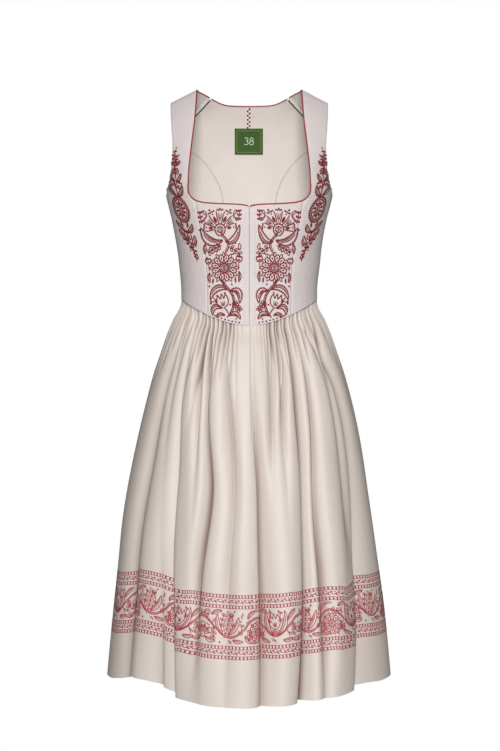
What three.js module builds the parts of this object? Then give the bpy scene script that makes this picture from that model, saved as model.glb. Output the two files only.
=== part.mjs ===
// Dirndl: sleeveless bodice with a square neckline and a gathered long skirt.
// Millimetres, +Z up, +X the viewer's right, the front faces -Y.
// The origin lies midway between the shoulders, level with the neck ends of the straps.
import * as THREE from 'three';

// ---------------------------------------------------------------- driving sizes
const BODICE_WALL = 2.0;     // interlined linen of the bodice
const LINING_WALL = 1.0;     // lining of the back
const SKIRT_WALL = 1.5;      // satin of the skirt
const SEAM_GAP = 0.3;        // clear distance between two pieces at a seam
const WAIST_GAP = 1.0;        // bodice edge to skirt edge, before the piece is faceted
const WAIST_Z = -392;        // waist seam at the sides
const WAIST_DIP = 54;        // how much lower the waist seam runs at centre front
const WAIST_DIP_POWER = 1.6; // roundness of that dip
const WAIST_BACK_DIP = 4;    // same at centre back
const HEM_Z = -1094;         // hem at the sides
const HEM_FRONT_DIP = 22;    // hem at centre front below that
const HEM_DIP_POWER = 1.7;   // roundness of that dip
// the left flank's fold is drawn up a little, so its hem hangs higher: angle in degrees, lift in mm
const HEM_LIFT = [
  { at: -84, up: 0 }, { at: -77, up: 1.5 }, { at: -70, up: 8 }, { at: -64, up: 17 }, { at: -56, up: 18 },
  { at: -48, up: 14 }, { at: -41, up: 8 }, { at: -36, up: 0 }, { at: 50, up: 0 }, { at: 58, up: 3.5 },
  { at: 66, up: 3.5 }, { at: 74, up: 0 },
];
const SIDE_SEAM_DEG = 92;    // place of the side seams round the figure
const CF_HALF_GAP = 0.7;     // half of the slit between the closed fronts
const PIPING_R = 1.4;        // neck piping
const NECK_CF_Z = -230.3;    // top of the centre fronts

// Sections of the figure that fills the bodice, a row for each height:
// half width, depth in front, depth behind, squareness of the outline.
const FIGURE = [
  { z: -452, w: 136.0, front: 106, back: 95, n: 2.10 },
  { z: -392, w: 127.8, front: 102, back: 85, n: 2.15 },
  { z: -368, w: 128.0, front: 103, back: 83, n: 2.15 },
  { z: -335, w: 131.6, front: 107, back: 84, n: 2.20 },
  { z: -301, w: 135.4, front: 113, back: 88, n: 2.25 },
  { z: -278, w: 139.0, front: 118, back: 92, n: 2.30 },
  { z: -256, w: 143.0, front: 123, back: 97, n: 2.35 },
  { z: -233, w: 147.6, front: 126, back: 102, n: 2.40 },
  { z: -199, w: 157.0, front: 121, back: 107, n: 2.45 },
  { z: -160, w: 163.0, front: 112, back: 110, n: 2.45 },
  { z: -110, w: 166.0, front: 100, back: 108, n: 2.40 },
  { z: -51, w: 166.0, front: 80, back: 93, n: 2.30 },
  { z: -30, w: 155.0, front: 70, back: 83, n: 2.15 },
  { z: -14, w: 125.5, front: 62, back: 74, n: 2.05 },
  { z: -6, w: 110.7, front: 55, back: 70, n: 2.00 },
  { z: 0, w: 99.9, front: 50, back: 67, n: 2.00 },
];

// Edge of the front neckline across the two centre fronts: distance from centre front, height.
const NECK_FRONT = [
  { x: 0, z: -231.2 }, { x: 24, z: -228.9 }, { x: 50, z: -227.6 },
  { x: 70, z: -226.0 }, { x: 88, z: -223.2 }, { x: 98.5, z: -219.5 },
];

// Front princess seam: height, distance from centre front.
const PRINCESS_FRONT = [
  { z: -436, x: 76.4 }, { z: -417, x: 76.6 }, { z: -348, x: 78.0 }, { z: -300, x: 82.7 },
  { z: -261, x: 91.4 }, { z: -236, x: 95.5 }, { z: -219.5, x: 98.5 },
];

// Strap of the front side panel, a row for each cross section from the bust up to the
// shoulder ridge: neck edge (i), armhole edge (o), share of the panel's own curve kept,
// and crown of the strap.
const STRAP = [
  { ix: 111.5, iy: -105, iz: -200, ox: 152.5, oy: -30, oz: -190, keep: 0.55, crown: 3.0 },
  { ix: 112.0, iy: -99, iz: -176, ox: 146.5, oy: -54, oz: -172, keep: 0.25, crown: 2.5 },
  { ix: 110.5, iy: -92, iz: -151, ox: 143.5, oy: -63, oz: -150, keep: 0.10, crown: 2.0 },
  { ix: 108.0, iy: -84, iz: -126, ox: 142.0, oy: -65, oz: -127, keep: 0.05, crown: 2.0 },
  { ix: 105.2, iy: -71, iz: -97, ox: 142.0, oy: -58, oz: -105, keep: 0.0, crown: 2.0 },
  { ix: 102.6, iy: -58, iz: -72, ox: 144.0, oy: -48, oz: -84, keep: 0.0, crown: 2.0 },
  { ix: 101.0, iy: -44, iz: -48, ox: 145.7, oy: -35, oz: -62, keep: 0.0, crown: 2.0 },
  { ix: 100.0, iy: -28, iz: -24, ox: 147.0, oy: -20, oz: -42, keep: 0.0, crown: 1.5 },
  { ix: 99.4, iy: -13, iz: -6, ox: 147.7, oy: -8, oz: -29, keep: 0.0, crown: 1.0 },
  { ix: 99.2, iy: 0, iz: 0, ox: 147.8, oy: 3, oz: -25, keep: 0.0, crown: 0.5 },
];

// The same strap behind the ridge, down to the slanting shoulder seam on the back:
// neck edge and armhole edge, each by distance from the centre and height.
const STRAP_BACK = [
  { ix: 96.5, iz: -0.6, ox: 147.7, oz: -29.5 },
  { ix: 90.0, iz: -1.6, ox: 147.5, oz: -40 },
  { ix: 83.0, iz: -3.8, ox: 147.1, oz: -57 },
  { ix: 76.0, iz: -6.5, ox: 146.5, oz: -76 },
];

// Back neckline from centre back to the shoulder seam.
const NECK_BACK = [
  { x: 0, z: -18.3 }, { x: 25.6, z: -18.1 }, { x: 45.2, z: -17.0 },
  { x: 58.4, z: -13.6 }, { x: 68, z: -9.6 }, { x: 76, z: -6.5 },
];

// Back princess seam from the waist up to the armhole, a row for each point.
const PRINCESS_BACK = [
  { x: 38, z: -396 }, { x: 40, z: -350 }, { x: 43, z: -300 }, { x: 46, z: -250 },
  { x: 50, z: -205 }, { x: 54.5, z: -180 }, { x: 62.5, z: -160 }, { x: 76, z: -138 },
  { x: 93, z: -119 }, { x: 111, z: -107 }, { x: 129, z: -100 }, { x: 145.6, z: -97 },
];

// Armhole edge of the back side panel from the armpit up to that seam.
const ARMHOLE_BACK = [
  { x: 157.0, z: -199 }, { x: 155.0, z: -193 }, { x: 152.5, z: -182 }, { x: 150.0, z: -165 },
  { x: 148.0, z: -145 }, { x: 146.6, z: -120 }, { x: 146.1, z: -100 },
];

// Sections of the skirt from waist seam (0) to hem (1): half width, depth in front, behind.
const SKIRT = [
  { t: 0.00, w: 128.5, front: 106, back: 88, n: 2.10 },
  { t: 0.05, w: 141.0, front: 114, back: 101, n: 2.08 },
  { t: 0.10, w: 155.5, front: 123, back: 114, n: 2.06 },
  { t: 0.15, w: 167.5, front: 131, back: 124, n: 2.04 },
  { t: 0.20, w: 179.5, front: 138, back: 133, n: 2.02 },
  { t: 0.30, w: 198.0, front: 151, back: 148, n: 1.98 },
  { t: 0.40, w: 213.0, front: 164, back: 162, n: 1.94 },
  { t: 0.50, w: 225.5, front: 177, back: 175, n: 1.90 },
  { t: 0.60, w: 236.3, front: 189, back: 188, n: 1.86 },
  { t: 0.70, w: 245.0, front: 201, back: 200, n: 1.82 },
  { t: 0.80, w: 254.0, front: 212, back: 212, n: 1.78 },
  { t: 0.90, w: 262.0, front: 223, back: 222, n: 1.75 },
  { t: 1.00, w: 269.0, front: 233, back: 232, n: 1.73 },
];

// Valleys between the folds of the skirt, degrees round the figure (0 centre front, minus to
// the viewer's left) at six levels, depth at the same levels, half width at waist and hem,
// and how far a neighbouring fold leans over the valley: plus, the fold on the plus side.
// A fold that leans makes the far slope of its valley longer.
const FOLD_LEVELS = [0.04, 0.12, 0.25, 0.45, 0.7, 1.0];
const FOLDS = [
  { name: 'side_l', deg: [-70, -72, -77, -78, -80, -82], deep: [2.3, 4.6, 6.9, 8, 9.2, 10.6], half: [3, 3.4], lean: [0, 0, 0, 0, -1, -1] },
  { name: 'flank_l', deg: [-60, -60, -60, -60, -56, -52], deep: [0, 0, 1, 2, 4, 8], half: [9, 9], lean: [0, 0, 0, 0, 0, 0] },
  { name: 'hip_l2', deg: [-64, -66, -66, -65, -64, -63], deep: [4.6, 6.9, 11.7, 15.6, 15.6, 10.1], half: [2.6, 3.6], lean: [0, 0, 0, 0, 0, 0] },
  { name: 'hip_l', deg: [-59, -60, -60, -55, -51, -48], deep: [5.8, 9.2, 11.7, 7.8, 13, 15.7], half: [2.4, 3.4], lean: [0, 0, 0, 0, 1, 2] },
  { name: 'step_l', deg: [-54, -54, -51.5, -44.6, -38.8, -34], deep: [8, 14.9, 19, 26.9, 31.4, 44], half: [2.2, 3.5], lean: [0, 0, 2, 4, 6, 9] },
  { name: 'thigh_l', deg: [-41, -41, -38, -33, -31, -31], deep: [9.2, 12.6, 13, 3.9, 0, 0], half: [2, 3], lean: [0, 0, 1, 0, 0, 0] },
  { name: 'thigh_l2', deg: [-33, -32.5, -30, -22, -25, -26], deep: [4.6, 10.3, 15.6, 19.5, 19.5, 6.7], half: [1.9, 3.5], lean: [0, 0, 0, 1, 1, 0] },
  { name: 'front_l', deg: [-23, -20, -14, -8.8, -10.5, -11], deep: [5.8, 8, 11.7, 15.6, 13, 5.6], half: [2, 4.6], lean: [0, 0, 0, -1, 0, 0] },
  { name: 'front_l2', deg: [-17, -17, -19, -19, -19, -19], deep: [3, 2, 0, 0, 0, 0], half: [1.8, 3], lean: [0, 0, 0, 0, 0, 0] },
  { name: 'centre', deg: [0.8, 1.2, 2.2, 3.2, 4, 4.4], deep: [0.5, 1.4, 5.9, 20.8, 28.6, 26.9], half: [1.7, 3.9], lean: [0, 0, -0.8, -3, -3.4, -3] },
  { name: 'front_r', deg: [21, 20, 17, 15, 14, 14], deep: [6.9, 8, 7.8, 1.3, 0, 0], half: [2, 3.6], lean: [0, 0, 0, 0, 0, 0] },
  { name: 'front_r2', deg: [29, 30, 24.5, 24, 24, 24], deep: [6.9, 9.2, 9.1, 2.6, 0, 0], half: [1.9, 3], lean: [0, 0, 0, 0, 0, 0] },
  { name: 'step_r', deg: [36, 37, 35.8, 32.4, 29.4, 25.4], deep: [9.2, 14.9, 20.2, 31.4, 38.1, 46.1], half: [1.8, 3.3], lean: [0, 0, -0.6, -1.6, -2, -2] },
  { name: 'thigh_r', deg: [44, 46, 44.5, 39.5, 39, 37], deep: [6.9, 10.3, 13, 15.6, 22.1, 14.6], half: [1.8, 3], lean: [0, 0, 0, 0, 0, 0] },
  { name: 'hip_r2', deg: [51, 57, 58, 56, 55, 55], deep: [4.6, 8, 10.4, 9.1, 3.9, 0], half: [2.1, 3.4], lean: [0, 0, 0, 0, 0, 0] },
  { name: 'hip_r', deg: [60, 63, 67, 67, 61.5, 52.5], deep: [6.9, 10.3, 13.8, 19.5, 25.3, 38.2], half: [2.4, 3.7], lean: [0, 0, 0, -2, -5, -8] },
  { name: 'side_r', deg: [71, 76, 80, 86, 92, 96], deep: [4, 6, 7, 7, 6, 5], half: [2.8, 5], lean: [0, 0, 0, 0, 0, 0] },
  { name: 'flank_r', deg: [66, 66, 66, 66, 66, 66], deep: [0, 0, 0, 1, 2, 4], half: [6, 7.5], lean: [0, 0, 0, 0, 0, 0] },
  { name: 'back_1', deg: [97, 100, 101, 102, 102, 101], deep: [4, 6, 9, 13, 18, 27], half: [2.6, 4], lean: [0, 0, 0, 1, 2, 3] },
  { name: 'back_2', deg: [108, 112, 116, 118, 120, 121], deep: [5, 8, 11, 16, 24, 36], half: [2.2, 3.8], lean: [0, 0, 1, 2, 5, 7] },
  { name: 'back_2b', deg: [118, 121, 125, 129, 130, 131], deep: [5, 7, 8, 6, 4, 0], half: [2, 3.4], lean: [0, 0, 0, 0, 0, 0] },
  { name: 'back_3', deg: [128, 131, 134, 139, 141, 141], deep: [5, 7, 8, 12, 16, 22], half: [2.1, 3.8], lean: [0, 0, 0, -1, -2, -2] },
  { name: 'back_4', deg: [141, 144, 147, 151, 154, 157], deep: [6, 9, 12, 20, 28, 38], half: [2, 3.6], lean: [0, 0, -1, -3, -5, -7] },
  { name: 'back_5', deg: [150, 153, 157, 161, 166, 168], deep: [5, 7, 7, 8, 8, 8], half: [2, 3.8], lean: [0, 0, 0, 0, 0, 0] },
  { name: 'back_6', deg: [163, 165, 168, 173, 177, 178], deep: [5, 8, 10, 14, 17, 24], half: [2, 3.8], lean: [0, 0, 0, 1, 2, 2] },
  { name: 'back_7', deg: [176, 178, 182, 186, 189, 191], deep: [6, 9, 11, 18, 27, 36], half: [2, 3.6], lean: [0, 0, 1, 3, 5, 7] },
  { name: 'back_8', deg: [189, 191, 193, 196, 200, 203], deep: [5, 7, 8, 8, 9, 9], half: [2, 3.6], lean: [0, 0, 0, 0, 0, 0] },
  { name: 'back_9', deg: [202, 204, 206, 210, 213, 216], deep: [6, 8, 10, 15, 19, 26], half: [2, 3.8], lean: [0, 0, 0, -1, -2, -3] },
  { name: 'back_10', deg: [214, 217, 221, 225, 229, 230], deep: [5, 7, 9, 11, 13, 14], half: [2, 3.8], lean: [0, 0, 0, 0, 0, 0] },
  { name: 'back_11', deg: [227, 230, 232, 235, 237, 239], deep: [6, 9, 12, 19, 28, 38], half: [2.2, 3.8], lean: [0, 0, -1, -3, -5, -7] },
  { name: 'back_12', deg: [241, 243, 245, 248, 250, 252], deep: [5, 7, 8, 12, 16, 22], half: [2.3, 4], lean: [0, 0, 0, 0, 0, 0] },
  { name: 'back_13', deg: [253, 254, 256, 258, 259, 260], deep: [3, 4, 5, 6, 8, 10], half: [2.6, 3.2], lean: [0, 0, 0, 0, 0, 0] },
];

// Label and hanging tape inside the back.
const LABEL = { x0: -28.6, x1: 26.6, top: -57.0, bottom: -106.4, wall: 1.0 };
const TAPE = { x0: -4.2, x1: 1.8, top: -21.5, bottom: -56.0, wall: 1.0 };
const SHOULDER_TAPE_WIDTH = 4.5;

// ---------------------------------------------------------------- small maths
const rad = (d) => (d * Math.PI) / 180;
const deg = (r) => (r * 180) / Math.PI;
const lerp = (a, b, t) => a + (b - a) * t;
const clamp = (v, a, b) => Math.min(b, Math.max(a, v));
const smooth = (t) => { const s = clamp(t, 0, 1); return s * s * (3 - 2 * s); };
const V = (x, y, z) => new THREE.Vector3(x, y, z);

// Smooth reading of a table whose rows run up in the column `at`.
function read(table, at, key, x) {
  const n = table.length;
  if (x <= table[0][at]) return table[0][key];
  if (x >= table[n - 1][at]) return table[n - 1][key];
  let i = 0;
  while (x > table[i + 1][at]) i += 1;
  const slope = (k) => (table[k + 1][key] - table[k][key]) / (table[k + 1][at] - table[k][at]);
  const h = table[i + 1][at] - table[i][at];
  const u = (x - table[i][at]) / h;
  const s = slope(i);
  const m0 = i > 0 ? (slope(i - 1) + s) / 2 : s;
  const m1 = i < n - 2 ? (slope(i + 1) + s) / 2 : s;
  const u2 = u * u, u3 = u2 * u;
  return (2 * u3 - 3 * u2 + 1) * table[i][key] + (u3 - 2 * u2 + u) * h * m0
    + (-2 * u3 + 3 * u2) * table[i + 1][key] + (u3 - u2) * h * m1;
}

// A point at share f of the rows of a table that is walked row by row.
function walk(table, keys, f) {
  const n = table.length - 1;
  const p = clamp(f, 0, 1) * n;
  const i = Math.min(n - 1, Math.floor(p));
  const u = p - i;
  const out = {};
  for (const k of keys) {
    const a = table[Math.max(0, i - 1)][k], b = table[i][k];
    const c = table[i + 1][k], d = table[Math.min(n, i + 2)][k];
    out[k] = 0.5 * (2 * b + (c - a) * u + (2 * a - 5 * b + 4 * c - d) * u * u
      + (3 * b - a - 3 * c + d) * u * u * u);
  }
  return out;
}

// ---------------------------------------------------------------- the figure
const figure = (z, key) => read(FIGURE, 'z', key, z);

function figurePoint(phi, z) {               // phi in radians, 0 at centre front
  const s = Math.sin(phi), c = Math.cos(phi), n = figure(z, 'n');
  const d = c >= 0 ? figure(z, 'front') : figure(z, 'back');
  const r = (Math.abs(s / figure(z, 'w')) ** n + Math.abs(c / d) ** n) ** (-1 / n);
  return V(r * s, -r * c, z);
}

function angleAt(x, z, side) {               // side -1 front, +1 back
  const w = figure(z, 'w'), n = figure(z, 'n');
  const q = Math.max(0, 1 - (Math.min(Math.abs(x), w) / w) ** n) ** (1 / n);
  const y = side < 0 ? -figure(z, 'front') * q : figure(z, 'back') * q;
  return Math.atan2(x, -y);
}

const backPoint = (x, z) => figurePoint(angleAt(x, z, 1), z);

function figureNormal(phi, z) {
  const e = 0.01;
  const a = figurePoint(phi + e, z).sub(figurePoint(phi - e, z));
  const b = figurePoint(phi, z + 1).sub(figurePoint(phi, z - 1));
  return a.cross(b).normalize();
}

function waistZ(phi) {
  const c = Math.cos(phi);
  return c > 0 ? WAIST_Z - WAIST_DIP * c ** WAIST_DIP_POWER : WAIST_Z - WAIST_BACK_DIP * c * c;
}
const hemZ = (phi) => HEM_Z - HEM_FRONT_DIP * Math.max(0, Math.cos(phi)) ** HEM_DIP_POWER;

// ---------------------------------------------------------------- walls from grids
// rows[i][j] = { p: outer point, n: outward normal }. Gives a closed wall of that thickness,
// whose outer face lies `sink` inside the points.
function wall(rows, thick, sink = 0) {
  const R = rows.length, C = rows[0].length;
  const at = (i, j, k) => (k * R + i) * C + j;
  const pos = [];
  for (let k = 0; k < 2; k += 1) {
    for (let i = 0; i < R; i += 1) {
      for (let j = 0; j < C; j += 1) {
        const g = rows[i][j];
        const q = g.p.clone().addScaledVector(g.n, -(sink + k * thick));
        pos.push(q.x, q.y, q.z);
      }
    }
  }
  const tri = [];
  const quad = (a, b, c, d) => tri.push(a, b, c, a, c, d);
  for (let i = 0; i + 1 < R; i += 1) {
    for (let j = 0; j + 1 < C; j += 1) {
      quad(at(i, j, 0), at(i, j + 1, 0), at(i + 1, j + 1, 0), at(i + 1, j, 0));
      quad(at(i, j, 1), at(i + 1, j, 1), at(i + 1, j + 1, 1), at(i, j + 1, 1));
    }
  }
  for (let j = 0; j + 1 < C; j += 1) {
    quad(at(0, j, 1), at(0, j + 1, 1), at(0, j + 1, 0), at(0, j, 0));
    quad(at(R - 1, j, 0), at(R - 1, j + 1, 0), at(R - 1, j + 1, 1), at(R - 1, j, 1));
  }
  for (let i = 0; i + 1 < R; i += 1) {
    quad(at(i, 0, 0), at(i + 1, 0, 0), at(i + 1, 0, 1), at(i, 0, 1));
    quad(at(i, C - 1, 1), at(i + 1, C - 1, 1), at(i + 1, C - 1, 0), at(i, C - 1, 0));
  }
  const g = new THREE.BufferGeometry();
  g.setAttribute('position', new THREE.Float32BufferAttribute(pos, 3));
  g.setIndex(tri);
  // the solid faces outward whichever way the grid was walked
  let vol = 0;
  const a = V(), b = V(), c = V();
  for (let k = 0; k < tri.length; k += 3) {
    a.fromArray(pos, tri[k] * 3); b.fromArray(pos, tri[k + 1] * 3); c.fromArray(pos, tri[k + 2] * 3);
    vol += a.dot(b.clone().cross(c));
  }
  if (vol < 0) {
    for (let k = 0; k < tri.length; k += 3) { const s = tri[k]; tri[k] = tri[k + 1]; tri[k + 1] = s; }
    g.setIndex(tri);
  }
  g.computeVertexNormals();
  return g;
}

// Draw the edges of a grid in by half a seam: which edges, by how much.
function inset(rows, edges) {
  const R = rows.length, C = rows[0].length;
  const pull = (g, h, d) => { g.p.add(h.p.clone().sub(g.p).setLength(d)); };
  if (edges.left) for (let i = 0; i < R; i += 1) pull(rows[i][0], rows[i][1], edges.left);
  if (edges.right) for (let i = 0; i < R; i += 1) pull(rows[i][C - 1], rows[i][C - 2], edges.right);
  if (edges.bottom) for (let j = 0; j < C; j += 1) pull(rows[0][j], rows[1][j], edges.bottom);
  if (edges.top) for (let j = 0; j < C; j += 1) pull(rows[R - 1][j], rows[R - 2][j], edges.top);
  return rows;
}

const mirrored = (rows) => rows.map((r) => r.map((g) => ({
  p: V(-g.p.x, g.p.y, g.p.z), n: V(-g.n.x, g.n.y, g.n.z),
})));

const onFigure = (phi, z) => ({ p: figurePoint(phi, z), n: figureNormal(phi, z) });

// Normals of a grid from its own points, turned away from a line inside the garment.
function gridNormals(rows, outward) {
  const R = rows.length, C = rows[0].length;
  for (let i = 0; i < R; i += 1) {
    for (let j = 0; j < C; j += 1) {
      const a = rows[i][Math.min(C - 1, j + 1)].p.clone().sub(rows[i][Math.max(0, j - 1)].p);
      const b = rows[Math.min(R - 1, i + 1)][j].p.clone().sub(rows[Math.max(0, i - 1)][j].p);
      const n = a.cross(b).normalize();
      if (n.dot(outward(rows[i][j].p)) < 0) n.negate();
      rows[i][j].n = n;
    }
  }
  return rows;
}

// ---------------------------------------------------------------- bodice panels (right side)
function frontCentre(cols, levels) {
  const topZ = (x) => read(NECK_FRONT, 'x', 'z', x);
  const rows = [];
  const seamLow = waistZ(angleAt(76.5, -430, -1));
  for (let i = 0; i <= levels; i += 1) {
    const f = i / levels;
    const zb = lerp(seamLow, -219.5, f);
    const xb = read(PRINCESS_FRONT, 'z', 'x', zb);
    const row = [];
    for (let j = 0; j <= cols; j += 1) {
      const x = lerp(CF_HALF_GAP, xb, j / cols);
      const top = topZ((x / xb) * 98.5);
      const low = waistZ(angleAt(x, -440, -1));
      const z = lerp(low, top, f);
      row.push(onFigure(angleAt(x, z, -1), z));
    }
    rows.push(row);
  }
  return rows;
}

function frontSide(cols, levels, strapLevels) {
  const out = rad(SIDE_SEAM_DEG);
  const seamLow = waistZ(angleAt(76.5, -430, -1));
  const rows = [];
  for (let i = 0; i <= levels; i += 1) {
    const f = i / levels;
    const zb = lerp(seamLow, -219.5, f);
    const a = angleAt(read(PRINCESS_FRONT, 'z', 'x', zb), zb, -1);
    const low = angleAt(76.5, -430, -1);
    const row = [];
    for (let j = 0; j <= cols; j += 1) {
      const c = j / cols;
      const phi = lerp(a, out, c);
      const z = lerp(waistZ(lerp(low, out, c)), lerp(-219.5, -199, c), f);
      row.push(onFigure(phi, z));
    }
    rows.push(row);
  }
  // the strap goes on from the top row of the panel
  const last = rows[rows.length - 1];
  const first = last[0].p, end = last[cols].p;
  const bend = last.map((g, j) => g.p.clone().sub(first.clone().lerp(end, j / cols)));
  const edge = [
    { ix: first.x, iy: first.y, iz: first.z, ox: end.x, oy: end.y, oz: end.z, keep: 1, crown: 0, back: 0 },
    ...STRAP.map((s) => ({ ...s, back: 0 })),
    ...STRAP_BACK.map((s) => {
      const p = backPoint(s.ix, s.iz), q = backPoint(s.ox, s.oz);
      return { ix: p.x, iy: p.y, iz: p.z, ox: q.x, oy: q.y, oz: q.z, keep: 0, crown: 0, back: 1 };
    }),
  ];
  const keys = ['ix', 'iy', 'iz', 'ox', 'oy', 'oz', 'keep', 'crown', 'back'];
  for (let i = 1; i <= strapLevels; i += 1) {
    const f = i / strapLevels;
    const e = walk(edge, keys, f), before = walk(edge, keys, f - 0.02), after = walk(edge, keys, f + 0.02);
    const A = V(e.ix, e.iy, e.iz), B = V(e.ox, e.oy, e.oz);
    const along = V(after.ix + after.ox - before.ix - before.ox,
      after.iy + after.oy - before.iy - before.oy, after.iz + after.oz - before.iz - before.oz);
    const up = B.clone().sub(A).cross(along).normalize();
    if (up.dot(V(0.3, e.iy < 0 ? -1 : 1, 0.9)) < 0) up.negate();
    const row = [];
    for (let j = 0; j <= cols; j += 1) {
      const c = j / cols;
      const p = A.clone().lerp(B, c).addScaledVector(bend[j], e.keep)
        .addScaledVector(up, 4 * c * (1 - c) * e.crown);
      if (e.back > 0) p.lerp(backPoint(p.x, p.z), clamp(e.back, 0, 1));
      row.push({ p, n: V() });
    }
    rows.push(row);
  }
  const keepN = rows.slice(0, levels).map((r) => r.map((g) => g.n.clone()));
  gridNormals(rows, (p) => (p.z > -60 ? V(p.x * 0.2, p.y, 60) : V(p.x, p.y, 0)));
  keepN.forEach((r, i) => r.forEach((n, j) => { rows[i][j].n = n; }));
  return rows;
}

function backTopZ(x) {                       // neckline, then the slanting shoulder seam
  if (x <= 76) return read(NECK_BACK, 'x', 'z', x);
  const S = STRAP_BACK[STRAP_BACK.length - 1];
  return lerp(S.iz, S.oz, (x - S.ix) / (S.ox - S.ix));
}

// Columns of the back from centre back (0) to the armhole (1); one runs to the neck end of
// the shoulder seam.
const BACK_COLUMNS = [0, 0.18, 0.35, 76 / 146.5, 99.5 / 146.5, 123 / 146.5, 1];

function backCentre(levels) {
  const border = [...PRINCESS_BACK, { x: 146.2, z: -86 }, { x: 146.5, z: -76 }];
  const lowZ = waistZ(Math.PI);
  const rows = [];
  for (let i = 0; i <= levels; i += 1) {
    const f = i / levels;
    const b = walk(border, ['x', 'z'], f);
    const g = (b.z - lowZ) / (-76 - lowZ);
    const row = [];
    const half = BACK_COLUMNS.length - 1;
    for (let j = -half; j <= half; j += 1) {
      const c = Math.sign(j) * BACK_COLUMNS[Math.abs(j)];
      const x = c * b.x;
      const z = lerp(lowZ, backTopZ(Math.abs(c) * 146.5), clamp(g, 0, 1));
      row.push(onFigure(angleAt(x, z, 1), z));
    }
    rows.push(row);
  }
  return rows;
}

function backSide(cols, levels) {
  const out = rad(SIDE_SEAM_DEG);
  const armpit = 0.62;                       // share of the rows below the armpit
  const rows = [];
  for (let i = 0; i <= levels; i += 1) {
    const f = i / levels;
    const a = walk(PRINCESS_BACK, ['x', 'z'], f);
    const pa = angleAt(a.x, a.z, 1);
    let pb, zb;
    if (f <= armpit) { pb = out; zb = lerp(waistZ(out), -199, f / armpit); }
    else {
      const e = walk(ARMHOLE_BACK, ['x', 'z'], (f - armpit) / (1 - armpit));
      pb = Math.max(angleAt(e.x, e.z, 1), out); zb = e.z;
    }
    const za = f === 0 ? waistZ(pa) : a.z;
    const row = [];
    for (let j = 0; j <= cols; j += 1) {
      const c = j / cols;
      row.push(onFigure(lerp(pa, pb, c), lerp(za, zb, c)));
    }
    rows.push(row);
  }
  return rows;
}

// ---------------------------------------------------------------- skirt
function level(list, t) {
  const rows = FOLD_LEVELS.map((at, i) => ({ at, v: list[i] }));
  return read(rows, 'at', 'v', t);
}

function hemLift(turn) {
  for (let k = 1; k < HEM_LIFT.length; k += 1) {
    const a = HEM_LIFT[k - 1], b = HEM_LIFT[k];
    if (turn >= a.at && turn <= b.at) return lerp(a.up, b.up, (turn - a.at) / (b.at - a.at));
  }
  return 0;
}

function skirtPoint(phi, t) {
  const s = Math.sin(phi), c = Math.cos(phi);
  const d = c >= 0 ? read(SKIRT, 't', 'front', t) : read(SKIRT, 't', 'back', t);
  const n = read(SKIRT, 't', 'n', t);
  let r = (Math.abs(s / read(SKIRT, 't', 'w', t)) ** n + Math.abs(c / d) ** n) ** (-1 / n);
  const zTop = waistZ(phi) - WAIST_GAP;
  const top = figurePoint(phi, zTop);
  r = lerp(Math.hypot(top.x, top.y), r, smooth(t / 0.06));
  for (const F of FOLDS) {
    let a = deg(phi) - level(F.deg, t);
    a = ((a + 540) % 360) - 180;
    const h = lerp(F.half[0], F.half[1], t), lean = level(F.lean, t);
    const side = a * (lean >= 0 ? 1 : -1);
    const q = side / (h * (1 + (side > 0 ? 0.03 : 0.17) * Math.abs(lean)));
    r -= level(F.deep, t) * smooth(t / 0.05) * (0.72 * Math.exp(-q * q) + 0.28 * Math.exp(-q * q / 4));
  }
  const turn = ((deg(phi) + 540) % 360) - 180;
  return V(r * s, -r * c, lerp(zTop, hemZ(phi) + hemLift(turn) * smooth((t - 0.25) / 0.75), t));
}

function skirtGrid(fromDeg, toDeg, cols) {
  const ts = [0, 0.03, 0.08, 0.16, 0.27, 0.42, 0.6, 0.8, 1];
  const rows = ts.slice().reverse().map((t) => {
    const row = [];
    for (let j = 0; j <= cols; j += 1) {
      const phi = rad(lerp(fromDeg, toDeg, j / cols));
      const e = 0.012;
      const a = skirtPoint(phi + e, t).sub(skirtPoint(phi - e, t));
      const b = skirtPoint(phi, Math.max(0, t - 0.01)).sub(skirtPoint(phi, Math.min(1, t + 0.01)));
      row.push({ p: skirtPoint(phi, t), n: a.cross(b).normalize() });
    }
    return row;
  });
  return rows;
}

// ---------------------------------------------------------------- cords and strips
function piping(points, r) {
  const curve = new THREE.CatmullRomCurve3(points, false, 'centripetal');
  const sides = 6;
  const shape = new THREE.Shape();
  for (let k = 0; k < sides; k += 1) {
    const a = (k / sides) * 2 * Math.PI;
    if (k === 0) shape.moveTo(r * Math.cos(a), r * Math.sin(a));
    else shape.lineTo(r * Math.cos(a), r * Math.sin(a));
  }
  shape.closePath();
  return new THREE.ExtrudeGeometry(shape, {
    steps: Math.max(10, Math.round(curve.getLength() / 13)), extrudePath: curve, curveSegments: 1,
  });
}

// Points just off an edge: edge = list of grid cells, inner = the next cells into the panel.
function offEdge(edge, inner, thick, away) {
  return edge.map((g, k) => {
    const into = inner[k].p.clone().sub(g.p).normalize();
    const prev = edge[Math.max(0, k - 1)].p, next = edge[Math.min(edge.length - 1, k + 1)].p;
    const t = next.clone().sub(prev).normalize();
    const off = into.addScaledVector(t, -into.dot(t)).normalize().negate();
    return g.p.clone().addScaledVector(g.n, -thick / 2).addScaledVector(off, away);
  });
}

// ---------------------------------------------------------------- assembling
const dirndl = new THREE.Group();
dirndl.name = 'dirndl';
const LOOKS = {
  linen: [0xe3e3e8, 0.85], lining: [0xe8e0d2, 0.7], satin: [0xd8cbb8, 0.45],
  red: [0xa01f25, 0.6], label: [0x8e9a3c, 0.8], tape: [0xc7b9b0, 0.8],
};
function add(name, look, geometry) {
  const [color, roughness] = LOOKS[look];
  const m = new THREE.Mesh(geometry, new THREE.MeshStandardMaterial({ color, roughness, metalness: 0 }));
  m.name = name;
  dirndl.add(m);
}

const half = SEAM_GAP / 2 + 0.05;

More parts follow.
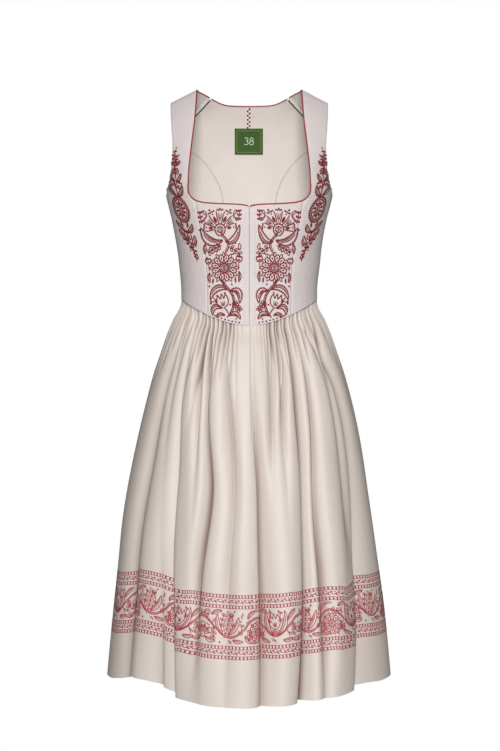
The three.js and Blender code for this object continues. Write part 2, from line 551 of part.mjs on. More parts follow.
// fronts
const fc = inset(frontCentre(6, 8), { right: half, bottom: half });
add('front_centre_r', 'linen', wall(fc, BODICE_WALL));
add('front_centre_l', 'linen', wall(mirrored(fc), BODICE_WALL));
const fs = frontSide(6, 8, 17);
const fsNeck = fs.slice(8).map((r) => ({ ...r[0] }));
const fsNeckIn = fs.slice(8).map((r) => ({ ...r[1] }));
inset(fs, { bottom: half, top: 1.0 });
for (let i = 0; i < 9; i += 1) {             // seams below the strap only
  const r = fs[i];
  r[0].p.add(r[1].p.clone().sub(r[0].p).setLength(half));
  r[6].p.add(r[5].p.clone().sub(r[6].p).setLength(half));
}
add('front_side_r', 'linen', wall(fs, BODICE_WALL));
add('front_side_l', 'linen', wall(mirrored(fs), BODICE_WALL));

// backs
const bc = backCentre(13);
const bcTop = bc[bc.length - 1].map((g) => ({ p: g.p.clone(), n: g.n.clone() }));
const bcNext = bc[bc.length - 2].map((g) => ({ p: g.p.clone(), n: g.n.clone() }));
const bcLining = bc.map((r) => r.map((g) => ({ p: g.p.clone(), n: g.n.clone() })));
inset(bc, { left: half, right: half, bottom: half, top: 0.9 });
add('back_centre', 'linen', wall(bc, BODICE_WALL));
const bs = backSide(5, 11);
const bsLining = bs.map((r) => r.map((g) => ({ p: g.p.clone(), n: g.n.clone() })));
inset(bs, { left: half, right: half, bottom: half });
add('back_side_r', 'linen', wall(bs, BODICE_WALL));
add('back_side_l', 'linen', wall(mirrored(bs), BODICE_WALL));

// lining of the back, clear of the shell by a seam's gap and a little smaller
inset(bcLining, { left: half, right: half, bottom: 4, top: 1.2 });
add('lining_back_centre', 'lining', wall(bcLining, LINING_WALL, BODICE_WALL + SEAM_GAP));
inset(bsLining, { left: half, right: 1.2, bottom: 4 });
add('lining_back_side_r', 'lining', wall(bsLining, LINING_WALL, BODICE_WALL + SEAM_GAP));
add('lining_back_side_l', 'lining', wall(mirrored(bsLining), LINING_WALL, BODICE_WALL + SEAM_GAP));

// strip behind the concealed front fastening
{
  const rows = [];
  for (let i = 0; i <= 8; i += 1) {
    const z = lerp(-440, -234, i / 8);
    rows.push([-9, -3, 3, 9].map((x) => onFigure(angleAt(x, z, -1), z)));
  }
  add('closure_strip', 'tape', wall(rows, 1.0, BODICE_WALL + 3 * SEAM_GAP));
}

// label and hanging tape inside the back
const depth = BODICE_WALL + SEAM_GAP + LINING_WALL + SEAM_GAP;
function patch(P, cols, levels) {
  const rows = [];
  for (let i = 0; i <= levels; i += 1) {
    const z = lerp(P.bottom, P.top, i / levels);
    const row = [];
    for (let j = 0; j <= cols; j += 1) row.push(onFigure(angleAt(lerp(P.x0, P.x1, j / cols), z, 1), z));
    rows.push(row);
  }
  return wall(rows, P.wall, depth + 0.3);
}
add('label_back', 'label', patch(LABEL, 4, 3));
add('hanging_tape', 'tape', patch(TAPE, 1, 4));

// tapes over the shoulder seams, inside
{
  const S = STRAP_BACK[STRAP_BACK.length - 1];
  const rows = [];
  for (let i = 0; i <= 8; i += 1) {
    const x = lerp(S.ix + 4, S.ox - 5, i / 8);
    const z = backTopZ(x);
    const across = 0.7071;
    rows.push([1.5, 1.5 + SHOULDER_TAPE_WIDTH].map((d) => {
      const xx = x - d * across, zz = z - d * across;
      return onFigure(angleAt(xx, zz, 1), zz);
    }));
  }
  add('shoulder_tape_r', 'tape', wall(rows, 1.0, depth + 2.0));
  add('shoulder_tape_l', 'tape', wall(mirrored(rows), 1.0, depth + 2.0));
}

// piping round the neck: one length up each front, one across the back
{
  const away = PIPING_R + SEAM_GAP + 0.2;
  const top = fc[fc.length - 1], under = fc[fc.length - 2];
  const low = offEdge(top.slice(0, top.length - 1), under.slice(0, top.length - 1), BODICE_WALL, away);
  const side = offEdge(fsNeck.slice(1), fsNeckIn.slice(1), BODICE_WALL, away);
  const corner = low[low.length - 1].clone().lerp(side[0], 0.5);
  corner.addScaledVector(V(fsNeck[0].p.x, fsNeck[0].p.y, 0).normalize(), 1.5).add(V(1.5, 0, -1.2));
  const r = [...low, corner, ...side.slice(0, side.length - 1)];
  add('piping_front_r', 'red', piping(r, PIPING_R));
  add('piping_front_l', 'red', piping(r.map((p) => V(-p.x, p.y, p.z)), PIPING_R));
  const half9 = (bcTop.length - 1) / 2;
  const pick = bcTop.map((g, k) => k).filter((k) => Math.abs(k - half9) <= 3);
  const lin = BODICE_WALL + SEAM_GAP + LINING_WALL;
  const back = offEdge(pick.map((k) => bcTop[k]), pick.map((k) => bcNext[k]), lin, away);
  add('piping_back', 'red', piping(back, PIPING_R));
}

// skirt: two front widths that meet at centre front, two back widths
const seamDeg = 0.12;
const widths = {
  skirt_front_l: [-SIDE_SEAM_DEG + seamDeg, -seamDeg, 34],
  skirt_front_r: [seamDeg, SIDE_SEAM_DEG - seamDeg, 34],
  skirt_back_r: [SIDE_SEAM_DEG + seamDeg, 180 - seamDeg, 28],
  skirt_back_l: [180 + seamDeg, 360 - SIDE_SEAM_DEG - seamDeg, 28],
};
for (const [name, [from, to, cols]] of Object.entries(widths)) {
  add(name, 'satin', wall(skirtGrid(from, to, cols), SKIRT_WALL));
}

export default dirndl;
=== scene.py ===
import math
import bpy
import numpy as np
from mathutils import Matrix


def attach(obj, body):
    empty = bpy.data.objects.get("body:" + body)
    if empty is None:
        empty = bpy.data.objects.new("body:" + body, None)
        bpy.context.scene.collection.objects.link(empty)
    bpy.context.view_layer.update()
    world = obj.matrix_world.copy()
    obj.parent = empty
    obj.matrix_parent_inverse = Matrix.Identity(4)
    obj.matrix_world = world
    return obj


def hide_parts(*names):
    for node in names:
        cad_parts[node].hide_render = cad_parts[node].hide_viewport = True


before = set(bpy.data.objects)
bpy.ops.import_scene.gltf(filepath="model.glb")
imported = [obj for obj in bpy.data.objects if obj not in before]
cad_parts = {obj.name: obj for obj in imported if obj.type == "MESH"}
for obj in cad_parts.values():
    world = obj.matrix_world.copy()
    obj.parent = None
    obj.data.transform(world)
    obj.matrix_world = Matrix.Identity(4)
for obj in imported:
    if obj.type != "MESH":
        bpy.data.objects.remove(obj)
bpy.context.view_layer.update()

MM = 0.001
rng = np.random.default_rng(38)

# =====================================================================================
# Sizes and tables of the garment, in millimetres, as in the part's own source
# =====================================================================================
WAIST_Z, WAIST_DIP, WAIST_POWER, WAIST_BACK = -392.0, 54.0, 1.6, 4.0
HEM_Z, HEM_DIP, HEM_POWER = -1094.0, 22.0, 1.7
SIDE_DEG = 92.0
CF_GAP = 0.42
WALL = 1.1            # bodice cloth as drawn
LIN_SINK = 2.3        # outer face of the lining below the bodice's outer face
PIPE_R = 1.35

FIGURE = np.array([   # z, half width, front, back, squareness
    (-452, 136.0, 106, 95, 2.10), (-392, 127.8, 102, 85, 2.15), (-368, 128.0, 103, 83, 2.15),
    (-335, 131.6, 107, 84, 2.20), (-301, 135.4, 113, 88, 2.25), (-278, 139.0, 118, 92, 2.30),
    (-256, 143.0, 123, 97, 2.35), (-233, 147.6, 126, 102, 2.40), (-199, 157.0, 121, 107, 2.45),
    (-160, 163.0, 112, 110, 2.45), (-110, 166.0, 100, 108, 2.40), (-51, 166.0, 80, 93, 2.30),
    (-30, 155.0, 70, 83, 2.15), (-14, 125.5, 62, 74, 2.05), (-6, 110.7, 55, 70, 2.00),
    (0, 99.9, 50, 67, 2.00)], float)
NECK_FRONT = np.array([(0, -231.2), (24, -228.9), (50, -227.6), (70, -226.0), (88, -223.2), (98.5, -219.5)], float)
PRINCESS_FRONT = np.array([(-436, 76.4), (-417, 76.6), (-348, 78.0), (-300, 82.7), (-261, 91.4),
                           (-236, 95.5), (-219.5, 98.5)], float)
STRAP = [  # neck edge x y z, armhole edge x y z, share of panel curve kept, crown
    (111.5, -105, -200, 152.5, -30, -190, 0.55, 3.0), (112.0, -99, -176, 146.5, -54, -172, 0.25, 2.5),
    (110.5, -92, -151, 143.5, -63, -150, 0.10, 2.0), (108.0, -84, -126, 142.0, -65, -127, 0.05, 2.0),
    (105.2, -71, -97, 142.0, -58, -105, 0.0, 2.0), (102.6, -58, -72, 144.0, -48, -84, 0.0, 2.0),
    (101.0, -44, -48, 145.7, -35, -62, 0.0, 2.0), (100.0, -28, -24, 147.0, -20, -42, 0.0, 1.5),
    (99.4, -13, -6, 147.7, -8, -29, 0.0, 1.0), (99.2, 0, 0, 147.8, 3, -25, 0.0, 0.5)]
STRAP_BACK = [(96.5, -0.6, 147.7, -29.5), (90.0, -1.6, 147.5, -40), (83.0, -3.8, 147.1, -57), (76.0, -6.5, 146.5, -76)]
NECK_BACK = np.array([(0, -18.3), (25.6, -18.1), (45.2, -17.0), (58.4, -13.6), (68, -9.6), (76, -6.5)], float)
PRINCESS_BACK = np.array([(38, -396), (40, -350), (43, -300), (46, -250), (50, -205), (54.5, -180), (62.5, -160),
                          (76, -138), (93, -119), (111, -107), (129, -100), (145.6, -97)], float)
ARMHOLE_BACK = np.array([(157.0, -199), (155.0, -193), (152.5, -182), (150.0, -165), (148.0, -145),
                         (146.6, -120), (146.1, -100)], float)
SKIRT = np.array([  # t, half width, front, back, squareness
    (0.00, 128.5, 106, 88, 2.10), (0.05, 141.0, 114, 101, 2.08), (0.10, 155.5, 123, 114, 2.06), (0.15, 167.5, 131, 124, 2.04),
    (0.20, 179.5, 138, 133, 2.02), (0.30, 198.0, 151, 148, 1.98), (0.40, 213.0, 164, 162, 1.94), (0.50, 225.5, 177, 175, 1.90),
    (0.60, 236.3, 189, 188, 1.86), (0.70, 245.0, 201, 200, 1.82), (0.80, 254.0, 212, 212, 1.78), (0.90, 262.0, 223, 222, 1.75),
    (1.00, 269.0, 233, 232, 1.73)], float)


# =====================================================================================
# Small maths
# =====================================================================================
def read(X, Y, x):
    """Smooth reading of a table with rising X, for arrays."""
    X = np.asarray(X, float); Y = np.asarray(Y, float); x = np.asarray(x, float)
    s = np.diff(Y) / np.diff(X)
    m = np.empty(len(X)); m[0] = s[0]; m[-1] = s[-1]; m[1:-1] = (s[:-1] + s[1:]) / 2
    xc = np.clip(x, X[0], X[-1])
    i = np.clip(np.searchsorted(X, xc, side="right") - 1, 0, len(X) - 2)
    h = X[i + 1] - X[i]; u = (xc - X[i]) / h; u2 = u * u; u3 = u2 * u
    return ((2 * u3 - 3 * u2 + 1) * Y[i] + (u3 - 2 * u2 + u) * h * m[i]
            + (-2 * u3 + 3 * u2) * Y[i + 1] + (u3 - u2) * h * m[i + 1])


def walk(T, f):
    """Points at shares f of the rows of table T, through every row."""
    T = np.asarray(T, float); n = len(T) - 1
    p = np.clip(np.asarray(f, float), 0, 1) * n
    i = np.minimum(n - 1, np.floor(p).astype(int)); u = (p - i)[..., None]
    a = T[np.maximum(0, i - 1)]; b = T[i]; c = T[i + 1]; d = T[np.minimum(n, i + 2)]
    return 0.5 * (2 * b + (c - a) * u + (2 * a - 5 * b + 4 * c - d) * u * u + (3 * b - a - 3 * c + d) * u ** 3)


def smooth(t):
    t = np.clip(t, 0, 1)
    return t * t * (3 - 2 * t)


def unit(v):
    return v / np.maximum(np.linalg.norm(v, axis=-1, keepdims=True), 1e-12)


def fig(z, k):
    return read(FIGURE[:, 0], FIGURE[:, k], z)


def fig_point(phi, z):
    phi, z = np.broadcast_arrays(np.asarray(phi, float), np.asarray(z, float))
    s, c = np.sin(phi), np.cos(phi)
    n = fig(z, 4); d = np.where(c >= 0, fig(z, 2), fig(z, 3))
    r = (np.abs(s / fig(z, 1)) ** n + np.abs(c / d) ** n) ** (-1 / n)
    return np.stack([r * s, -r * c, z], -1)


def angle_at(x, z, side):
    x, z = np.broadcast_arrays(np.asarray(x, float), np.asarray(z, float))
    w, n = fig(z, 1), fig(z, 4)
    q = np.maximum(0, 1 - (np.minimum(np.abs(x), w) / w) ** n) ** (1 / n)
    y = np.where(side < 0, -fig(z, 2) * q, fig(z, 3) * q)
    return np.arctan2(x, -y)


def fig_normal(phi, z):
    e = 0.01
    a = fig_point(phi + e, z) - fig_point(phi - e, z)
    b = fig_point(phi, z + 1.0) - fig_point(phi, z - 1.0)
    return unit(np.cross(a, b))


def waist_z(phi):
    c = np.cos(phi)
    return np.where(c > 0, WAIST_Z - WAIST_DIP * np.maximum(c, 0) ** WAIST_POWER, WAIST_Z - WAIST_BACK * c * c)


def back_point(x, z):
    return fig_point(angle_at(x, z, 1), z)


def neck_back_z(x):
    x = np.abs(x)
    S = STRAP_BACK[-1]
    return np.where(x <= 76, read(NECK_BACK[:, 0], NECK_BACK[:, 1], x), S[1] + (S[3] - S[1]) * (x - S[0]) / (S[2] - S[0]))


def grid_normals(P):
    a = np.empty_like(P); b = np.empty_like(P)
    a[:, 1:-1] = P[:, 2:] - P[:, :-2]; a[:, 0] = P[:, 1] - P[:, 0]; a[:, -1] = P[:, -1] - P[:, -2]
    b[1:-1] = P[2:] - P[:-2]; b[0] = P[1] - P[0]; b[-1] = P[-1] - P[-2]
    return unit(np.cross(a, b))


# =====================================================================================
# Mesh making
# =====================================================================================
def make_mesh(name, verts, faces, uv=None, mats=(), face_mat=None, smooth_all=True, uv2=None):
    me = bpy.data.meshes.new(name)
    verts = np.asarray(verts, float) * MM
    faces = np.asarray(faces, np.int32)
    nv, nf, k = len(verts), len(faces), faces.shape[1]
    me.vertices.add(nv); me.vertices.foreach_set("co", verts.astype(np.float32).ravel())
    me.loops.add(nf * k); me.loops.foreach_set("vertex_index", faces.ravel())
    me.polygons.add(nf); me.polygons.foreach_set("loop_start", np.arange(0, nf * k, k, dtype=np.int32))
    me.polygons.foreach_set("loop_total", np.full(nf, k, np.int32))
    me.polygons.foreach_set("use_smooth", np.full(nf, smooth_all, bool))
    if face_mat is not None:
        me.polygons.foreach_set("material_index", np.asarray(face_mat, np.int32))
    for label, data in (("UVMap", uv), ("Cloth", uv2)):
        if data is not None:
            layer = me.uv_layers.new(name=label)
            layer.data.foreach_set("uv", np.asarray(data, np.float32)[faces.ravel()].ravel())
    for m in mats:
        me.materials.append(m)
    me.update(); me.validate()
    ob = bpy.data.objects.new(name, me)
    bpy.context.scene.collection.objects.link(ob)
    return ob


def shell(name, P, N, thick, uv, mats, sink=0.0, inner_mat=1, smooth_all=True, cut_edge=False):
    """A cloth wall from a grid P with outward normals N; outer face mats[0], inner mats[inner_mat]."""
    R, C = P.shape[:2]
    outer = (P - N * sink).reshape(-1, 3); inner = (P - N * (sink + thick)).reshape(-1, 3)
    V = np.vstack([outer, inner]); n = R * C
    i, j = np.meshgrid(np.arange(R - 1), np.arange(C - 1), indexing="ij")
    a = (i * C + j).ravel(); b = a + 1; c = a + C + 1; d = a + C
    of = np.stack([a, b, c, d], 1); inf = np.stack([a + n, d + n, c + n, b + n], 1)
    e = []
    k = np.arange(C - 1); lo, hi = k, (R - 1) * C + k
    e.append(np.stack([lo + n, lo + 1 + n, lo + 1, lo], 1)); e.append(np.stack([hi, hi + 1, hi + 1 + n, hi + n], 1))
    k = np.arange(R - 1) * C
    e.append(np.stack([k, k + C, k + C + n, k + n], 1)); k = k + C - 1
    e.append(np.stack([k + n, k + C + n, k + C, k], 1))
    e = np.vstack(e)
    F = np.vstack([of, inf, e])
    # turn all faces if the grid was walked the other way
    t = np.cross(V[of[:, 1]] - V[of[:, 0]], V[of[:, 3]] - V[of[:, 0]])
    if (t * np.repeat(N[:-1, :-1].reshape(-1, 3), 1, axis=0)).sum() < 0:
        F = F[:, ::-1]
    fm = np.concatenate([np.zeros(len(of)), np.full(len(inf), inner_mat), np.zeros(len(e))])
    U = np.vstack([uv.reshape(-1, 2)] * 2)
    ob = make_mesh(name, V, F, uv=U, mats=mats, face_mat=fm, smooth_all=smooth_all)
    if cut_edge:                                       # the cut edges stay crisp
        ob.data.polygons.foreach_set("use_smooth", np.arange(len(F)) < len(of) + len(inf))
    return ob


def mirror(P):
    Q = P.copy(); Q[..., 0] *= -1
    return Q


class Strokes:
    """Raised strokes of changing width, laid on a surface given by a function (u, v) -> point, normal."""
    def __init__(self, lift=0.15, height=0.45, across=4):
        self.V, self.F, self.U, self.n = [], [], [], 0
        self.lift, self.height, self.across = lift, height, across

    def add(self, pts, width, place, height=None, step=None, taper=(0.0, 0.0)):
        pts = np.asarray(pts, float)
        d = np.linalg.norm(np.diff(pts, axis=0), axis=1); s = np.r_[0, np.cumsum(d)]
        L = s[-1]
        if L < 1e-6:
            return
        w0 = np.interp(np.linspace(0, 1, 41), np.linspace(0, 1, len(np.atleast_1d(width))), np.atleast_1d(width)) \
            if np.ndim(width) else np.full(41, float(width))
        n = max(3, int(math.ceil(L / (step or max(0.9, 0.8 * w0.max())))) + 1)
        f = np.linspace(0, 1, n)
        q = np.stack([np.interp(f * L, s, pts[:, 0]), np.interp(f * L, s, pts[:, 1])], 1)
        w = np.interp(f, np.linspace(0, 1, 41), w0)
        for end, amount in ((0, taper[0]), (1, taper[1])):
            if amount > 0:
                g = (f if end == 0 else 1 - f) * L / amount
                w = w * np.sqrt(np.clip(1 - (1 - np.clip(g, 0, 1)) ** 2, 0.02, 1))
        t = np.empty_like(q); t[1:-1] = q[2:] - q[:-2]; t[0] = q[1] - q[0]; t[-1] = q[-1] - q[-2]
        t = t / np.maximum(np.linalg.norm(t, axis=1, keepdims=True), 1e-9)
        nn = np.stack([-t[:, 1], t[:, 0]], 1)
        k = self.across
        a = np.linspace(-1, 1, k + 1)
        uv = q[:, None, :] + nn[:, None, :] * (a[None, :, None] * w[:, None, None] / 2)
        P, N = place(uv[..., 0], uv[..., 1])
        h = (self.height if height is None else height) * np.minimum(1, w / 1.2)[:, None] * np.sqrt(1 - 0.92 * a[None, :] ** 2)
        P = P + N * (self.lift + h)[..., None]
        V = P.reshape(-1, 3)
        i, j = np.meshgrid(np.arange(n - 1), np.arange(k), indexing="ij")
        b = (i * (k + 1) + j).ravel() + self.n
        self.V.append(V); self.F.append(np.stack([b, b + 1, b + k + 2, b + k + 1], 1))
        U = np.stack([np.broadcast_to((f * L)[:, None], (n, k + 1)), np.broadcast_to(a[None, :] * w[:, None] / 2, (n, k + 1))], -1)
        self.U.append(U.reshape(-1, 2)); self.n += len(V)

    def mesh(self, name, mats, flip_check=None, turned=False):
        V = np.vstack(self.V); F = np.vstack(self.F); U = np.vstack(self.U)
        if turned:
            F = F[:, ::-1]
        if flip_check is not None:
            t = np.cross(V[F[:, 1]] - V[F[:, 0]], V[F[:, 3]] - V[F[:, 0]])
            c = flip_check(V[F[:, 0]])
            bad = (t * c).sum(1) < 0
            F[bad] = F[bad][:, ::-1]
        return make_mesh(name, V, F, uv=U, mats=mats)


# =====================================================================================
# Bodice surfaces (right side of the picture, +X; the other side is mirrored)
# =====================================================================================
def front_centre(nc, nr, gap=CF_GAP):
    f = np.linspace(0, 1, nr + 1)[:, None]; c = np.linspace(0, 1, nc + 1)[None, :]
    low_z = float(waist_z(angle_at(76.5, -430, -1)))
    zb = low_z + (-219.5 - low_z) * f
    xb = read(PRINCESS_FRONT[:, 0], PRINCESS_FRONT[:, 1], zb)
    x = gap + (xb - gap) * c
    top = read(NECK_FRONT[:, 0], NECK_FRONT[:, 1], x / xb * 98.5)
    top = top - 2.6 * np.exp(-(x / 3.2) ** 2)            # the little notch where the fronts meet
    low = waist_z(angle_at(x, -440 + 0 * x, -1)) + 0 * f
    z = low + (top - low) * f
    phi = angle_at(x, z, -1)
    return fig_point(phi, z), fig_normal(phi, z), x + 0 * z


def front_side(nc, nr, ns):
    out = math.radians(SIDE_DEG)
    f = np.linspace(0, 1, nr + 1)[:, None]; c = np.linspace(0, 1, nc + 1)[None, :]
    low_z = float(waist_z(angle_at(76.5, -430, -1)))
    zb = low_z + (-219.5 - low_z) * f
    a = angle_at(read(PRINCESS_FRONT[:, 0], PRINCESS_FRONT[:, 1], zb), zb, -1)
    low_a = float(angle_at(76.5, -430, -1))
    phi = a + (out - a) * c
    zl = waist_z(low_a + (out - low_a) * c)
    # the armhole falls softly into the side seam
    zt = -219.5 + (-199 + 219.5) * (c + 0.10 * np.sin(np.pi * c))
    z = zl + (zt - zl) * f
    P0 = fig_point(phi, z)
    first, end = P0[-1, 0], P0[-1, -1]
    ct = c[0][:, None]
    bend = P0[-1] - (first + (end - first) * ct)
    nc_ = fig_point(angle_at(109.0, -210.0, -1), -210.0)
    rows = [(*first, *end, 1.0, 0.0, 0.0), (*nc_, 155.6, -14, -195.6, 0.8, 1.5, 0.0)] + [(*s, 0.0) for s in STRAP]
    for s in STRAP_BACK:
        p, q = back_point(s[0], s[1]), back_point(s[2], s[3])
        rows.append((*p, *q, 0.0, 0.0, 1.0))
    T = np.array(rows, float)
    # parameter by length along the strap, so that rows are even
    ff = np.linspace(0, 1, 801)
    W = walk(T, ff)
    mid = (W[:, :3] + W[:, 3:6]) / 2
    s = np.r_[0, np.cumsum(np.linalg.norm(np.diff(mid, axis=0), axis=1))]
    fs = np.interp(np.linspace(0, s[-1], ns + 1)[1:], s, ff)
    E = walk(T, fs); B = walk(T, np.clip(fs - 0.02, 0, 1)); A = walk(T, np.clip(fs + 0.02, 0, 1))
    i3, o3 = E[:, None, :3], E[:, None, 3:6]
    along = (A[:, :3] + A[:, 3:6] - B[:, :3] - B[:, 3:6])
    up = unit(np.cross(E[:, 3:6] - E[:, :3], along))
    ref = np.stack([np.full(len(E), 0.3), np.where(E[:, 1] < 0, -1.0, 1.0), np.full(len(E), 0.9)], 1)
    up = np.where(((up * ref).sum(1) < 0)[:, None], -up, up)
    cc = c[0][None, :, None]
    P1 = i3 + (o3 - i3) * cc + bend[None] * E[:, None, 6:7] + up[:, None] * (4 * cc * (1 - cc)) * E[:, None, 7:8]
    bk = np.clip(E[:, None, 8:9], 0, 1)
    Pb = back_point(P1[..., 0], P1[..., 2])
    P1 = P1 + (Pb - P1) * bk
    P = np.vstack([P0, P1])
    # smooth the passage from panel to strap along the rows
    lo, hi = nr - 26, nr + 34
    k = np.arange(lo, hi)
    soft = (np.minimum(1.0, np.minimum(k - lo + 1, hi - k) / 8.0) * 0.5)[:, None, None]
    for _ in range(160):
        Q = P.copy()
        Q[lo:hi, 1:-1] = P[lo:hi, 1:-1] + soft * (0.5 * (P[lo - 1:hi - 1, 1:-1] + P[lo + 1:hi + 1, 1:-1]) - P[lo:hi, 1:-1])
        Q[lo:hi, -1] = P[lo:hi, -1] + 0.12 * soft[:, 0] * (0.5 * (P[lo - 1:hi - 1, -1] + P[lo + 1:hi + 1, -1]) - P[lo:hi, -1])
        P = Q
    N = grid_normals(P)
    ref = P.copy(); ref[..., 2] = np.where(P[..., 2] > -60, 60.0, 0.0); ref[..., 0] *= np.where(P[..., 2] > -60, 0.2, 1.0)
    if (N * ref).sum() < 0:
        N = -N
    return P, N


def back_centre(nc, nr):
    border = np.vstack([PRINCESS_BACK, [(146.2, -86), (146.5, -76)]])
    f = np.linspace(0, 1, nr + 1); c = np.linspace(-1, 1, 2 * nc + 1)[None, :]
    b = walk(border, f)
    low = float(waist_z(math.pi))
    g = np.clip((b[:, 1] - low) / (-76 - low), 0, 1)[:, None]
    x = c * b[:, :1]
    # the curve of the neck fades quickly below it, so that the rows stay even
    z = low + (-76 - low) * g + (neck_back_z(np.abs(c) * 146.5) + 76) * g ** 4
    phi = angle_at(x, z, 1)
    return fig_point(phi, z), fig_normal(phi, z)


def back_side(nc, nr):
    out = math.radians(SIDE_DEG)
    f = np.linspace(0, 1, nr + 1); c = np.linspace(0, 1, nc + 1)[None, :]
    arm = 0.62
    a = walk(PRINCESS_BACK, f)
    pa = angle_at(a[:, 0], a[:, 1], 1)
    w0 = float(waist_z(out))
    low = f <= arm
    e = walk(ARMHOLE_BACK, np.clip((f - arm) / (1 - arm), 0, 1))
    pb = np.where(low, out, np.maximum(angle_at(e[:, 0], e[:, 1], 1), out))
    zb = np.where(low, w0 + (-199 - w0) * f / arm, e[:, 1])
    za = a[:, 1].copy(); za[0] = waist_z(pa[0])
    phi = pa[:, None] + (pb - pa)[:, None] * c
    z = za[:, None] + (zb - za)[:, None] * c
    return fig_point(phi, z), fig_normal(phi, z)


def edge_distance(P, which):
    """Distance in mm of each grid point from the chosen edges."""
    R, C = P.shape[:2]
    d = np.full((R, C), 1e9)
    dc = np.linalg.norm(np.diff(P, axis=1), axis=2); dr = np.linalg.norm(np.diff(P, axis=0), axis=2)
    sc = np.concatenate([np.zeros((R, 1)), np.cumsum(dc, 1)], 1); sr = np.concatenate([np.zeros((1, C)), np.cumsum(dr, 0)], 0)
    if "l" in which: d = np.minimum(d, sc)
    if "r" in which: d = np.minimum(d, sc[:, -1:] - sc)
    if "b" in which: d = np.minimum(d, sr)
    if "t" in which: d = np.minimum(d, sr[-1:] - sr)
    return d


def cloth_uv(P):
    """Lengths along the cloth in metres: u across, v up."""
    R, C = P.shape[:2]
    dc = np.linalg.norm(np.diff(P, axis=1), axis=2)
    u = np.concatenate([np.zeros((R, 1)), np.cumsum(dc, 1)], 1); u = u - u[:, C // 2:C // 2 + 1]
    dr = np.linalg.norm(np.diff(P[:, C // 2], axis=0), axis=1)
    v = np.r_[0, np.cumsum(dr)][:, None] + 0 * u
    return np.stack([u, v], -1) * MM


def pull_in(P, side, d):
    """Move the edge rows of a grid d mm into the piece."""
    P = P.copy()
    if "l" in side: P[:, 0] += unit(P[:, 1] - P[:, 0]) * d
    if "r" in side: P[:, -1] += unit(P[:, -2] - P[:, -1]) * d
    if "b" in side: P[0] += unit(P[1] - P[0]) * d
    if "t" in side: P[-1] += unit(P[-2] - P[-1]) * d
    return P


# =====================================================================================
# Skirt surface
# =====================================================================================
LEVELS = np.array([0.04, 0.12, 0.25, 0.45, 0.70, 1.00])
